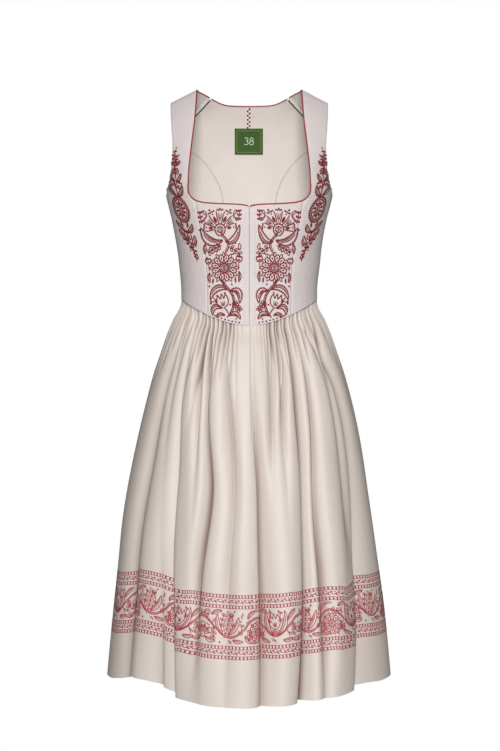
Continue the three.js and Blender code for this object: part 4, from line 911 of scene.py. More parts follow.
# =====================================================================================
# Piping, topstitching, strip behind the closure, tapes and label
# =====================================================================================
def tube(name, path, r, mats, sides=12, step=1.2, twist=0.0):
    path = np.asarray(path, float)
    s = np.r_[0, np.cumsum(np.linalg.norm(np.diff(path, axis=0), axis=1))]
    keep = np.r_[True, np.diff(s) > 1e-6]
    path, s = path[keep], s[keep]
    n = int(s[-1] / step) + 2
    q = np.linspace(0, s[-1], n)
    C = np.stack([np.interp(q, s, path[:, k]) for k in range(3)], 1)
    for _ in range(8):
        C[1:-1] = 0.5 * C[1:-1] + 0.25 * (C[:-2] + C[2:])
    T = np.empty_like(C); T[1:-1] = C[2:] - C[:-2]; T[0] = C[1] - C[0]; T[-1] = C[-1] - C[-2]
    T = unit(T)
    U = np.empty_like(C); u = unit(np.cross(T[0], [0.1, 0.2, 0.97]))
    for k in range(n):
        u = unit(u - T[k] * (u * T[k]).sum()); U[k] = u
    W = np.cross(T, U)
    a = np.linspace(0, 2 * np.pi, sides + 1)[:-1]
    rad = np.full(n, r)
    rad[0] *= 0.75; rad[-1] *= 0.75
    V = C[:, None] + (U[:, None] * np.cos(a)[None, :, None] + W[:, None] * np.sin(a)[None, :, None]) * rad[:, None, None]
    uv = np.stack([np.broadcast_to(q[:, None], (n, sides)), np.broadcast_to(a[None] * r, (n, sides))], -1).reshape(-1, 2)
    V = V.reshape(-1, 3)
    i, j = np.meshgrid(np.arange(n - 1), np.arange(sides), indexing="ij")
    b = (i * sides + j).ravel(); c = (i * sides + (j + 1) % sides).ravel()
    F = np.stack([b, c, c + sides, b + sides], 1)
    # ends closed by a small cap
    V = np.vstack([V, C[0] - T[0] * r * 0.5, C[-1] + T[-1] * r * 0.5])
    uv = np.vstack([uv, [0, 0], [q[-1], 0]])
    e0, e1 = n * sides, n * sides + 1
    k = np.arange(sides)
    caps = np.stack([np.full(sides, e0), (k + 1) % sides, k, np.full(sides, e0)], 1)[:, :3]
    cape = np.stack([np.full(sides, e1), (n - 1) * sides + k, (n - 1) * sides + (k + 1) % sides], 1)
    me_faces = [tuple(f) for f in F] + [tuple(f) for f in caps] + [tuple(f) for f in cape]
    me = bpy.data.meshes.new(name)
    me.from_pydata([tuple(p) for p in V * MM], [], me_faces)
    layer = me.uv_layers.new(name="UVMap")
    idx = np.empty(len(me.loops), np.int32); me.loops.foreach_get("vertex_index", idx)
    layer.data.foreach_set("uv", uv[idx].astype(np.float32).ravel())
    me.polygons.foreach_set("use_smooth", np.ones(len(me.polygons), bool))
    for m in mats:
        me.materials.append(m)
    me.update()
    ob = bpy.data.objects.new(name, me)
    bpy.context.scene.collection.objects.link(ob)
    return ob


def edge_path(edge, inner, normal, depth, away):
    into = unit(inner - edge)
    t = np.empty_like(edge); t[1:-1] = edge[2:] - edge[:-2]; t[0] = edge[1] - edge[0]; t[-1] = edge[-1] - edge[-2]
    t = unit(t)
    off = -unit(into - t * (into * t).sum(1)[:, None])
    return edge - normal * depth + off * away


low = P0[-1] - N0[-1] * 0.45
low = low[np.abs(X0[-1]) > 1.3]
bound = np.vstack([low[:-1], P1[nr:-1, 0] - N1[nr:-1, 1] * 0.45])
# even steps, rounded corner, then moved just outside the cloth's edge
sl = np.r_[0, np.cumsum(np.linalg.norm(np.diff(bound, axis=0), axis=1))]
qq = np.linspace(0, sl[-1], int(sl[-1] / 1.5) + 2)
bound = np.stack([np.interp(qq, sl, bound[:, k]) for k in range(3)], 1)
Nb = np.vstack([N0[-1][np.abs(X0[-1]) > 1.3][:-1], N1[nr:-1, 1]])
Nb = np.stack([np.interp(qq, sl, Nb[:, k]) for k in range(3)], 1)
corner = smooth(1 - np.abs(bound[:, 2] + 210.0) / 26.0) * (bound[:, 1] < -60)
for _ in range(14):
    Q = bound.copy(); M = Nb.copy()
    Q[1:-1] = 0.5 * bound[1:-1] + 0.25 * (bound[:-2] + bound[2:]); M[1:-1] = 0.5 * Nb[1:-1] + 0.25 * (Nb[:-2] + Nb[2:])
    bound = bound + (Q - bound) * np.maximum(corner, 0.15)[:, None]; Nb = M
Nb = unit(Nb)
tt = np.empty_like(bound); tt[1:-1] = bound[2:] - bound[:-2]; tt[0] = bound[1] - bound[0]; tt[-1] = bound[-1] - bound[-2]
away = np.cross(unit(tt), Nb)
away = unit(away) * np.where((away * np.array([-0.6, 0.0, 0.8])).sum(1) < 0, -1.0, 1.0)[:, None]
away = np.where((np.abs(away[:, 0]) > 0.8)[:, None] & (away[:, :1] > 0), -away, away)
neck = bound + away * 0.95 + Nb * (0.55 * corner[:, None])
for s in ("r", "l"):
    path = neck if s == "r" else mirror(neck)
    ob = tube("piping_front_" + s + "_cord", path, 1.25, [PIPE])
    register(ob, ["piping_front_" + s])
top = P2[-1]; c0 = (P2.shape[1] - 1) // 2
sel = np.abs(top[:, 0]) < 75.0
back = edge_path(top, P2[-2], N2[-1], 1.6, 0.9)[sel]
register(tube("piping_back_cord", back, 1.05, [PIPE]), ["piping_back"])


def plane_patch(x0, x1, z0, z1, nx, nz, side=1, skew=None):
    x = np.linspace(x0, x1, nx + 1)[None, :]; z = np.linspace(z0, z1, nz + 1)[:, None]
    x, z = np.broadcast_arrays(x, z)
    phi = angle_at(x, z, side)
    P, N = fig_point(phi, z), fig_normal(phi, z)
    return P, N


INNER = 3.75      # depth of the label and tapes below the back's outer face
# label inside the back, bare, with its stitched border
P, N = plane_patch(-28.6, 26.6, -106.4, -57.0, 46, 40)
e = edge_distance(P, "lrtb")
P = P + N * (-0.15 * np.exp(-(e / 1.0) ** 2))[..., None]
label = shell("label_back_cloth", P, N, 0.7, cloth_uv(P), [GREEN, GREEN], sink=INNER)
register(label, ["label_back"], P)


def inner_place(depth, side=1):
    def f(u, v):
        phi = angle_at(u, v, side)
        N = fig_normal(phi, v)
        return fig_point(phi, v) - N * depth, -N
    return f


def outer_place(side=-1, sign=1.0, sink=0.0):
    def f(u, v):
        phi = angle_at(u, v, side)
        P, N = fig_point(phi, v), fig_normal(phi, v)
        if sink:
            P = P - N * sink
        if sign < 0:
            P, N = mirror(P), mirror(N)
        return P, N
    return f


st = Strokes(lift=0.05, height=0.30)
pl = inner_place(INNER + 0.7)
bx0, bx1, bz0, bz1 = -28.6 + 4.2, 26.6 - 4.2, -106.4 + 4.4, -57.0 - 4.2
def dashes(S, a, b, place, on, gap, width, **kw):
    a, b = np.asarray(a, float), np.asarray(b, float)
    L = np.linalg.norm(b - a); n = max(1, int(round(L / (on + gap))))
    for k in range(n):
        p = a + (b - a) * (k + 0.5 * gap / (on + gap)) / n
        q = a + (b - a) * (k + 1 - 0.5 * gap / (on + gap)) / n
        S.add([p, q], width, place, taper=(width * 0.6, width * 0.6), **kw)
for a, b in (((bx0, bz0), (bx1, bz0)), ((bx1, bz0), (bx1, bz1)), ((bx1, bz1), (bx0, bz1)), ((bx0, bz1), (bx0, bz0))):
    dashes(st, a, b, pl, 2.6, 1.4, 1.15, step=0.5)
ob = st.mesh("label_stitches", [GREEN_EDGE]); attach(ob, "root")
st = Strokes(lift=0.02, height=0.25)
for a, b in (((-28.6, -106.1), (26.6, -106.1)), ((-28.3, -106.4), (-28.3, -57.0)), ((26.3, -106.4), (26.3, -57.0)), ((-28.6, -57.3), (26.6, -57.3))):
    st.add([a, b], 1.0 if a[1] == b[1] == -106.1 else 0.6, pl, step=1.0)
ob = st.mesh("label_edge_weave", [GREEN_DARK]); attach(ob, "root")

# a plain size number woven into it, seen from inside: x grows to the viewer's right
st = Strokes(lift=0.05, height=0.22)
def arc(cx, cy, rx, ry, a0, a1, n=24):
    a = np.radians(np.linspace(a0, a1, n))
    return np.stack([cx + rx * np.cos(a), cy + ry * np.sin(a)], 1)
for path in (arc(-6.2, -77.4, 3.4, 3.1, 150, -90), arc(-6.2, -84.0, 3.9, 3.5, 90, -150),
             arc(4.4, -77.4, 3.1, 3.0, 0, 360, 30), arc(4.4, -84.0, 3.8, 3.6, 0, 360, 30)):
    st.add(path, 1.35, pl, step=0.5, taper=(0.4, 0.4))
ob = st.mesh("label_size_number", [WHITE_THREAD]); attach(ob, "root")

# chequered hanging tape above it
P, N = plane_patch(-4.8, 2.2, -57.5, -19.8, 8, 40)
tape = shell("hanging_tape_cloth", P, N, 0.5, cloth_uv(P), [CHEQ_WHITE, CHEQ_WHITE], sink=INNER)
nf = (P.shape[0] - 1) * (P.shape[1] - 1)
fm = np.zeros(len(tape.data.polygons), np.int32)
i, j = np.meshgrid(np.arange(P.shape[0] - 1), np.arange(P.shape[1] - 1), indexing="ij")
chk = (((i // 4) + (j // 4)) % 2).ravel()
fm[:nf] = chk; fm[nf:2 * nf] = chk
tape.data.materials.clear()
for m in (CHEQ_RED, CHEQ_WHITE):
    tape.data.materials.append(m)
tape.data.polygons.foreach_set("material_index", fm)
register(tape, ["hanging_tape"], P)

# tapes over the shoulder seams: a white strip with a dark edge
S = STRAP_BACK[-1]
xs = np.linspace(S[0] + 1.0, S[2] - 5, 40)
zs = neck_back_z(xs)
ds = np.linspace(-4.2, 0.2, 7)
XX = xs[None, :] - ds[:, None] * 0.7071; ZZ = zs[None, :] - ds[:, None] * 0.7071
phi = angle_at(XX, ZZ, 1); P, N = fig_point(phi, ZZ), fig_normal(phi, ZZ)
P, N = P[::-1], N[::-1]
side_pair("shoulder_tape", P, N, cloth_uv(P), "tape", mats=[WHITE, WHITE], sink=3.5, thick=0.6)
ds = np.linspace(0.4, 2.1, 4)
XX = xs[None, :] - ds[:, None] * 0.7071; ZZ = zs[None, :] - ds[:, None] * 0.7071
phi = angle_at(XX, ZZ, 1); P, N = fig_point(phi, ZZ), fig_normal(phi, ZZ)
P, N = P[::-1], N[::-1]
for s, A, B in (("r", P, N), ("l", mirror(P), mirror(N))):
    ob = shell("shoulder_edge_" + s, A, B, 0.5, cloth_uv(P) * 1000, [BROWN, BROWN], sink=3.6)
    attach(ob, "root")

# dark strip behind the closure
P, N = plane_patch(-9, 9, -440, -234, 12, 80, side=-1)
register(shell("closure_strip_cloth", P, N, 0.8, cloth_uv(P), [DARK, DARK], sink=3.0), ["closure_strip"], P)

# topstitching beside the closure
st = Strokes(lift=0.02, height=0.22)
for sign in (1, -1):
    for x in (9.5,):
        z = -233.0
        low_z = float(waist_z(angle_at(x, -440, -1))) + 2.0
        pl = outer_place(-1, sign, 0.25 if sign < 0 else 0.55)
        while z - 2.2 > low_z:
            st.add([(x, z), (x, z - 2.1)], 0.42, pl, step=0.7, taper=(0.25, 0.25))
            z -= 3.1
ob = st.mesh("closure_topstitch", [STITCH]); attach(ob, "root")


# =====================================================================================
# Skirt: four gathered widths of one folded surface
# =====================================================================================
SK_T = np.concatenate([np.linspace(0, 0.02, 9), np.linspace(0.02, 0.20, 34)[1:], np.linspace(0.20, 1.0, 66)[1:]])
SK_WIDTHS = {"skirt_front_l": (-92.0, 0.0), "skirt_front_r": (0.0, 92.0),
             "skirt_back_r": (92.0, 180.0), "skirt_back_l": (180.0, 268.0)}
SK_STEP = 0.36
SK = {}
u_start = 0.0
for name in ("skirt_front_l", "skirt_front_r", "skirt_back_r", "skirt_back_l"):
    a, b = SK_WIDTHS[name]
    cols = int(round((b - a) / (SK_STEP if "front" in name else 0.58)))
    phi0 = np.linspace(a, b, cols + 1)
    step = phi0[1] - phi0[0]
    # some columns more on each side, so that the widths meet with the same normals
    wide = int(round(5.0 / step))
    phiw = a + step * np.arange(-wide, cols + wide + 1)
    P, D, small = skirt_surface(phiw[None, :], SK_T[:, None], depth=True)
    N = -grid_normals(P)[:, wide:-wide]
    P = P[:, wide:-wide]
    # how far each place lies down inside a fold, against the cloth round it: painted shade, darker the deeper it lies
    run = np.cumsum(np.pad(D, ((0, 0), (1, 0))), 1)
    mean = (run[:, 2 * wide + 1:] - run[:, :-2 * wide - 1]) / (2 * wide + 1)
    painted_fold_shade = np.clip((D[:, wide:-wide] - mean) / 9.0, 0, 1) ** 1.3
    # the painted shade of the gathers and the slit from skirt_surface (small) is added to it
    painted_fold_shade = np.clip(painted_fold_shade + 0.8 * small[:, wide:-wide], 0, 1)
    # cloth lengths: u along the hem print's level, v up from the hem
    lev = int(np.argmin(np.abs(SK_T - 0.80)))
    du = np.linalg.norm(np.diff(P[lev], axis=0), axis=1)
    u = np.r_[0, np.cumsum(du)] + u_start
    u_start = u[-1]
    dv = np.linalg.norm(np.diff(P, axis=0), axis=2)
    v = np.concatenate([np.cumsum(dv[::-1], 0)[::-1], np.zeros((1, P.shape[1]))], 0)
    # the stitched seams lie a little in; the hem is turned up and a little fuller
    seam = edge_distance(P, "lr")
    off = -0.45 * np.exp(-(seam / 1.4) ** 2)
    if name.startswith("skirt_front"):
        off = off * np.where(np.abs(phi0)[None, :] > 30, 1.0, 0.0)
    off = off - 0.35 * np.exp(-((v - 38.0) / 0.9) ** 2)
    P = P + N * off[..., None]
    SK[name] = (P, N, u, v)
    uv = np.stack([np.broadcast_to(u[None, :], v.shape), v], -1) * MM
    ob = shell(name + "_cloth", P, N, 0.9, uv, [SATIN, SATIN_IN])
    # even shading across the seams: the same normals on both sides of each
    Q = -grid_normals(P); Q[:, 0], Q[:, -1] = N[:, 0], N[:, -1]
    ob.data.normals_split_custom_set_from_vertices(np.vstack([Q.reshape(-1, 3), -Q.reshape(-1, 3)]).tolist())
    # the painted fold shade goes to the satin material in a UV layer of its own
    layer = ob.data.uv_layers.new(name="Pocket")
    idx = np.empty(len(ob.data.loops), np.int32); ob.data.loops.foreach_get("vertex_index", idx)
    painted_shade_loops = np.tile(painted_fold_shade.ravel(), 2)[idx]
    layer.data.foreach_set("uv", np.stack([painted_shade_loops, np.zeros_like(painted_shade_loops)], 1).astype(np.float32).ravel())
    ob.data.uv_layers["UVMap"].active_render = True; ob.data.uv_layers.active = ob.data.uv_layers["UVMap"]
    w = float(u[-1] - u[0]) * MM
    l = float(v[0].mean()) * MM
    register(ob, [name], P, flat=(w, l + 0.0), area=None)


# =====================================================================================
# Embroidery: a generic mirrored flower pattern of our own, drawn as raised thread
# =====================================================================================
def bez(p, n=24):
    p = [np.asarray(q, float) for q in p]
    t = np.linspace(0, 1, n)[:, None]
    if len(p) == 2:
        return p[0] + (p[1] - p[0]) * t
    if len(p) == 3:
        return (1 - t) ** 2 * p[0] + 2 * t * (1 - t) * p[1] + t * t * p[2]
    return (1 - t) ** 3 * p[0] + 3 * t * (1 - t) ** 2 * p[1] + 3 * t * t * (1 - t) * p[2] + t ** 3 * p[3]


def offset(c, d):
    t = np.gradient(c, axis=0); t = t / np.maximum(np.linalg.norm(t, axis=1, keepdims=True), 1e-9)
    return c + np.stack([-t[:, 1], t[:, 0]], 1) * np.asarray(d)[..., None]


def circle(c, r, a0=0.0, a1=360.0, n=40, ry=None, tilt=0.0):
    a = np.radians(np.linspace(a0, a1, n)); k = math.radians(tilt)
    x, y = r * np.cos(a), (ry or r) * np.sin(a)
    return np.stack([c[0] + x * math.cos(k) - y * math.sin(k), c[1] + x * math.sin(k) + y * math.cos(k)], 1)


class Motifs:
    """Draws motifs with strokes given in a flat drawing plane (mm), mapped by `place`."""
    def __init__(self, S, place, w=1.5, gain=1.0):
        self.S, self.place, self.w, self.gain = S, place, w, gain

    def line(self, c, w=None, taper=(0.5, 0.5), **kw):
        self.S.add(c, self.gain * (self.w if w is None else w), self.place, taper=taper, **kw)

    def dot(self, x, y, r=1.3):
        r = r * (1 + 0.6 * (self.gain - 1))
        self.S.add([(x - r, y), (x, y), (x + r, y)], 2 * r, self.place, taper=(r, r), step=0.55)

    def hatch(self, a, c, gap=2.5, w=None, f0=0.12, f1=0.88, s0=0.12, s1=0.95):
        """Short stitches that join line c to line a, as in a shaded leaf."""
        n = len(a)
        d = np.linalg.norm(np.diff(c, axis=0), axis=1); L = d.sum()
        m = max(2, int(L * (f1 - f0) / gap))
        for k in range(m + 1):
            f = (f0 + (f1 - f0) * k / m) * (n - 1)
            p = np.array([np.interp(f, np.arange(n), c[:, 0]), np.interp(f, np.arange(n), c[:, 1])])
            g = min(n - 1, f + 0.8)
            q = np.array([np.interp(g, np.arange(n), a[:, 0]), np.interp(g, np.arange(n), a[:, 1])])
            if np.linalg.norm(q - p) < 1.6:
                continue
            self.line([p + (q - p) * s0, p + (q - p) * s1], w or self.w * 0.66, taper=(0.2, 0.2), step=1.2)

    def teeth(self, c, length, gap, w=None, lean=0.35, start=0.06, end=0.94):
        """Short stitches standing off one side of a line (minus length: the other side)."""
        d = np.linalg.norm(np.diff(c, axis=0), axis=1); s = np.r_[0, np.cumsum(d)]
        n = int(s[-1] * (end - start) / gap)
        for k in range(n + 1):
            q = (start + (end - start) * k / max(1, n)) * s[-1]
            p = np.array([np.interp(q, s, c[:, 0]), np.interp(q, s, c[:, 1])])
            r = np.array([np.interp(min(q + 0.5, s[-1]), s, c[:, 0]), np.interp(min(q + 0.5, s[-1]), s, c[:, 1])])
            t = r - p; m = np.linalg.norm(t)
            if m < 1e-6:
                continue
            t = t / m; nn = np.array([-t[1], t[0]])
            L = length * (0.55 + 0.45 * math.sin(math.pi * k / max(1, n)))
            self.line([p, p + nn * L + t * lean * abs(L)], (w or self.w * 0.68), taper=(0.1, 0.5), step=1.1)

    def leaf(self, c, width, vein=True, teeth=0.0, gap=2.6, w=None, power=1.0, hatch=True):
        """An outlined leaf along the line c."""
        n = len(c); f = np.linspace(0, 1, n)
        h = width / 2 * np.sin(np.pi * f ** power) ** 0.85
        a, b = offset(c, h), offset(c, -h)
        self.line(a, w); self.line(b, w)
        if vein:
            k = int(n * 0.86)
            self.line(c[: max(4, k)], (w or self.w) * 0.75)
        if teeth:
            self.teeth(b[::-1], teeth, gap)
        if vein and hatch and width > 4.2:
            self.hatch(a, c, gap=max(2.3, gap * 0.95))
        return a, b

    def solid_leaf(self, c, width):
        n = len(c); f = np.linspace(0, 1, 41)
        w = np.maximum(0.35, self.gain ** 0.6 * width * np.sin(np.pi * f) ** 0.8)
        self.S.add(c, w, self.place, step=1.0)

    def petals(self, cx, cy, n, r0, r1, width, a0=0.0, a1=360.0, inner=True, teeth=0.0, pointed=True, w=None):
        full = abs(a1 - a0) >= 359.9
        for k in range(n):
            a = math.radians(a0 + (a1 - a0) * (k / n if full else (k / (n - 1) if n > 1 else 0.5)))
            d = np.array([math.cos(a), math.sin(a)])
            p, q = np.array([cx, cy]) + d * r0, np.array([cx, cy]) + d * r1
            c = bez([p, q], 18)
            f = np.linspace(0, 1, 18)
            h = width / 2 * (np.sin(np.pi * f ** 1.15) ** 0.75 if pointed else np.sqrt(np.clip(1 - (2 * f - 1) ** 2, 0, 1)) ** 0.9)
            e = np.vstack([offset(c, h), offset(c, -h)[::-1]])
            self.line(e, w, taper=(0.2, 0.2))
            if inner:
                self.solid_leaf(bez([p + d * (r1 - r0) * 0.30, p + d * (r1 - r0) * 0.72], 6), width * 0.24)
            if teeth:
                self.teeth(offset(c, h)[4:-2], teeth, 2.0)

    def sprig(self, c, n, length, width, sides=(1, -1), w=None, tip=True, solid=False, grow=1.0):
        """A stem with leaves in pairs."""
        self.line(c, w or self.w * 0.85)
        d = np.linalg.norm(np.diff(c, axis=0), axis=1); s = np.r_[0, np.cumsum(d)]
        for k in range(n):
            q = s[-1] * (0.16 + 0.72 * k / max(1, n - 1))
            p = np.array([np.interp(q, s, c[:, 0]), np.interp(q, s, c[:, 1])])
            r = np.array([np.interp(min(q + 1, s[-1]), s, c[:, 0]), np.interp(min(q + 1, s[-1]), s, c[:, 1])])
            t = (r - p) / max(1e-6, np.linalg.norm(r - p)); m = np.array([-t[1], t[0]])
            L = length * (1 + (grow - 1) * k / max(1, n - 1))
            for sd in sides:
                e = p + (t * 0.75 + m * sd * 0.75) * L
                mid = p + (t * 0.15 + m * sd * 0.6) * L
                if solid:
                    self.solid_leaf(bez([p + m * sd * 0.5, mid, e], 10), width)
                else:
                    self.leaf(bez([p, mid, e], 12), width, vein=False, w=self.w * 0.8)
        if tip:
            self.dot(c[-1][0], c[-1][1], self.w * 0.75)

    def tulip(self, x, y, ang, h, w_, inner=True):
        """An outlined tulip that points along ang (degrees)."""
        k = math.radians(ang - 90)
        R = np.array([[math.cos(k), -math.sin(k)], [math.sin(k), math.cos(k)]])
        T = lambda pts: np.asarray(pts, float) @ R.T + np.array([x, y])
        self.line(T(bez([(0, 0), (-w_ * 0.75, h * 0.15), (-w_ * 0.62, h * 0.75), (-w_ * 0.36, h)])))
        self.line(T(bez([(0, 0), (w_ * 0.75, h * 0.15), (w_ * 0.62, h * 0.75), (w_ * 0.36, h)])))
        self.line(T(bez([(-w_ * 0.36, h), (-w_ * 0.24, h * 0.72), (-w_ * 0.12, h * 0.66)], 10)))
        self.line(T(bez([(w_ * 0.36, h), (w_ * 0.24, h * 0.72), (w_ * 0.12, h * 0.66)], 10)))
        self.line(T(bez([(-w_ * 0.14, h * 0.66), (-w_ * 0.1, h * 0.9), (0, h * 1.08)], 10)))
        self.line(T(bez([(w_ * 0.14, h * 0.66), (w_ * 0.1, h * 0.9), (0, h * 1.08)], 10)))
        if inner:
            for d in (-0.2, 0.0, 0.2):
                self.line(T(bez([(d * w_ * 0.6, h * 0.14), (d * w_, h * 0.5)], 6)), self.w * 0.7)
            self.solid_leaf(T(bez([(0, h * 0.12), (0, h * 0.45)], 6)), w_ * 0.14)
        return T


def front_panel(D):
    """The panel beside the closure: x mm from the closure, z mm. About 76 mm wide at the top, 53 mm below."""
    L = D.line
    # ---- waving main stem, doubled
    stem = np.vstack([bez([(41, -432), (29, -416), (25, -399), (37, -384)]), bez([(37, -384), (46, -373), (55, -368), (53, -357)])[1:]])
    L(stem, 1.7); L(offset(stem, 3.0)[5:-5], 1.1); D.hatch(offset(stem, 3.0), stem, 3.0, 0.9)
    stem2 = np.vstack([bez([(47, -318), (39, -309), (33, -301), (41, -290)]), bez([(41, -290), (46, -284), (50, -281), (52, -276)])[1:]])
    L(stem2, 1.7); L(offset(stem2, -2.8)[4:-4], 1.0)
    # ---- top: a fan carnation with toothed petals
    cx, cy = 53.0, -272.0
    for k, a in enumerate(np.linspace(172, 8, 7)):
        ar = math.radians(a); d = np.array([math.cos(ar), math.sin(ar)]); m = np.array([-d[1], d[0]])
        c0 = np.array([cx, cy])
        R = 33.0 + 1.5 * math.sin(ar) - (3.5 if k in (0, 6) else 0)
        h = 6.9
        left = bez([c0 + d * 9.5 - m * 1.8, c0 + d * 18 - m * (h * 0.7), c0 + d * (R - 6) - m * h, c0 + d * (R - 2.0) - m * (h * 0.88)], 16)
        right = bez([c0 + d * 9.5 + m * 1.8, c0 + d * 18 + m * (h * 0.7), c0 + d * (R - 6) + m * h, c0 + d * (R - 2.0) + m * (h * 0.88)], 16)
        L(left, 1.4)
        if k == 6:
            L(right, 1.4)
        rim = [left[-1]]
        for j in range(5):
            base = left[-1] + (right[-1] - left[-1]) * ((j + 0.5) / 5)
            rim.append(base + d * (3.4 if j % 2 == 0 else 0.2))
        rim.append(right[-1])
        L(np.array(rim), 1.45)
        if k % 2 == 0:
            D.solid_leaf(bez([c0 + d * 12.5, c0 + d * (R - 8.5)], 8), 4.4)
            D.dot(*(c0 + d * (R - 4.6)), 1.15)
        else:
            for q in (-1, 0, 1):
                L(bez([c0 + d * (13 if q == 0 else 17) + m * q * 1.3, c0 + d * (R - 6.0) + m * q * 3.7], 6), 1.0)
    L(circle((cx, cy), 9.4, -8, 188, 28), 1.7)
    L(bez([(cx - 9.4, cy), (cx - 8.4, cy - 9), (cx, cy - 12.5)], 14), 1.7); L(bez([(cx + 9.4, cy), (cx + 8.4, cy - 9), (cx, cy - 12.5)], 14), 1.7)
    L(circle((cx, cy - 0.6), 5.6, 0, 360, 26), 1.2)
    for q in (-3.0, 0, 3.0):
        L([(cx + q, cy - 5.2), (cx + q * 0.7, cy + 4.2)], 1.05)
    # curled leaves under the carnation
    D.leaf(bez([(48, -291), (66, -301), (81, -292), (88.5, -268)]), 13.5, teeth=3.4, gap=2.7, w=1.5)
    D.leaf(bez([(44, -293), (32, -299), (21, -289), (17.5, -264)]), 10.5, teeth=2.6, gap=2.6, w=1.5)
    # corner sprigs
    D.sprig(bez([(85.5, -262), (89.5, -251), (89.5, -240)]), 3, 5.6, 2.9, solid=True)
    D.sprig(bez([(20, -258), (16.8, -249), (18.5, -239)]), 3, 5.2, 2.8, solid=True)
    D.leaf(bez([(76, -246), (81, -243), (84, -237.5)], 10), 4.0, vein=False, w=1.2)
    D.leaf(bez([(29, -246), (25, -243), (23.5, -237.5)], 10), 4.0, vein=False, w=1.2)
    D.dot(34, -238.5, 1.6); D.dot(72, -238.0, 1.6); D.dot(53, -235.5, 1.4)
    D.dot(90.5, -272, 1.4)
    # ---- between: leafy sprays and berries
    D.sprig(bez([(50, -301), (62, -304), (76, -313)]), 4, 7.4, 3.8, solid=False)
    D.sprig(bez([(37, -305), (28, -306), (18, -317)]), 3, 6.6, 3.6, solid=False)
    D.leaf(bez([(80, -297), (84, -305), (82, -316)], 14), 5.4, w=1.2)
    D.leaf(bez([(19, -297), (16.5, -303), (18, -310)], 12), 4.4, vein=False, w=1.2)
    D.dot(75, -298.5, 1.5); D.dot(60, -311.5, 1.5); D.dot(30, -316.5, 1.4); D.dot(25, -297.5, 1.3)
    # ---- middle: a star daisy of pointed petals
    sx, sy = 47.5, -341.0
    D.petals(sx, sy, 12, 10.0, 24.5, 9.0, a0=15, a1=375, inner=True, w=1.45)
    D.petals(sx, sy, 12, 17.5, 28.5, 4.4, a0=0, a1=360, inner=False, w=1.2)
    L(circle((sx, sy), 8.7), 1.9)
    L(circle((sx, sy), 5.6), 1.2)
    for k in range(12):
        a = math.radians(k * 30)
        L([(sx + 5.8 * math.cos(a), sy + 5.8 * math.sin(a)), (sx + 8.4 * math.cos(a), sy + 8.4 * math.sin(a))], 1.1)
    for q in (-2.7, 0.0, 2.7):
        L([(sx - 4.2 + abs(q) * 0.4, sy + q), (sx + 4.2 - abs(q) * 0.4, sy + q)], 1.5)
    # sprays round the daisy
    D.tulip(20.0, -331, 100, 12, 10)
    D.tulip(76.5, -334, 82, 11, 9)
    L(bez([(20, -331), (19, -338), (21, -345)], 8), 1.3); L(bez([(76.5, -334), (77.5, -341), (75, -347)], 8), 1.2)
    D.leaf(bez([(20, -347), (16, -356), (20, -367)], 12), 5.0, w=1.25)
    D.leaf(bez([(75, -349), (79, -357), (74, -368)], 12), 5.0, w=1.25)
    D.solid_leaf(bez([(26, -357), (27, -363), (25, -369)]), 3.0)
    D.solid_leaf(bez([(69, -359), (68, -365), (70, -370)]), 3.0)
    D.dot(17.0, -322, 1.3); D.dot(80, -322, 1.3); D.dot(33, -371, 1.4); D.dot(75.5, -374, 1.5)
    # ---- below: paired leaves with teeth and a large tulip
    D.leaf(bez([(37, -384), (21, -376), (15, -388), (18, -406)]), 9.6, teeth=2.8, gap=2.5, w=1.5)
    D.leaf(bez([(40, -381), (56, -371), (70, -377), (72.5, -399)]), 10.4, teeth=3.0, gap=2.6, w=1.5)
    D.tulip(47.0, -414, 78, 25, 19)
    L(bez([(46, -414), (40, -419), (38, -425)], 10), 1.6)
    D.sprig(bez([(30, -400), (24, -410), (17, -419)]), 4, 6.2, 3.4, solid=False)
    D.leaf(bez([(50, -415), (62, -407), (71, -411), (67, -427)]), 8.6, teeth=2.2, gap=2.4, w=1.4)
    D.sprig(bez([(59, -400), (65, -403), (72, -403)]), 2, 4.6, 2.6, solid=True)
    D.leaf(bez([(37, -429), (28, -421), (20, -424), (16, -435)]), 7.4, teeth=2.0, gap=2.3, w=1.4)
    D.leaf(bez([(44, -428), (52, -423), (58, -425), (61, -431)]), 5.6, w=1.3)
    D.dot(66, -396, 1.3); D.dot(35.5, -408, 1.5); D.dot(19.5, -410, 1.3); D.dot(24, -434, 1.3)
    D.dot(60, -391.5, 1.5); D.dot(46, -386.5, 1.5); D.dot(31.5, -391.5, 1.3); D.dot(71, -405.5, 1.2)


def waist_row(D, outer):
    """Dots and dashes that follow the waist seam."""
    x = 17.0; k = 0
    while x < outer - 4:
        z = float(waist_z(angle_at(x, -440, -1))) + 4.2
        z2 = float(waist_z(angle_at(x + 4.6, -440, -1))) + 4.2
        if k % 2:
            D.line([(x, z), (x + 4.6, z2)], 1.7, taper=(0.7, 0.7)); x += 7.6
        else:
            D.dot(x + 1.2, z, 1.4); x += 5.4
        k += 1


def squeeze(x, z):
    """Keep the drawing inside the panel, which narrows towards the waist."""
    edge = np.interp(z, [-437, -348, -300, -261, -236], [73.0, 74.0, 79.0, 86.0, 90.0])
    want = np.interp(z, [-437, -300, -236], [73.5, 80.0, 90.0])
    return x * edge / want


def panel_place(sign):
    def f(u, v):
        x = squeeze(u, v)
        phi = angle_at(x, v, -1)
        P, N = fig_point(phi, v), fig_normal(phi, v)
        if sign < 0:
            P, N = mirror(P), mirror(N)
        return P, N
    return f


made_thread = []
for sgn, tag in ((1, "r"), (-1, "l")):
    S = Strokes(lift=0.30, height=0.42, across=4)
    D = Motifs(S, panel_place(sgn), 1.5, 1.42)
    front_panel(D)
    waist_row(D, 71.0)
    ob = S.mesh("embroidery_front_" + tag, [RED]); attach(ob, "root")
    made_thread.append(ob)
    print("EMB", ob.name, len(ob.data.polygons))


# ---- the strip by the armhole: laid on the side front's own grid
P1s, N1s = P1, N1
z_col = P1s[..., 2]


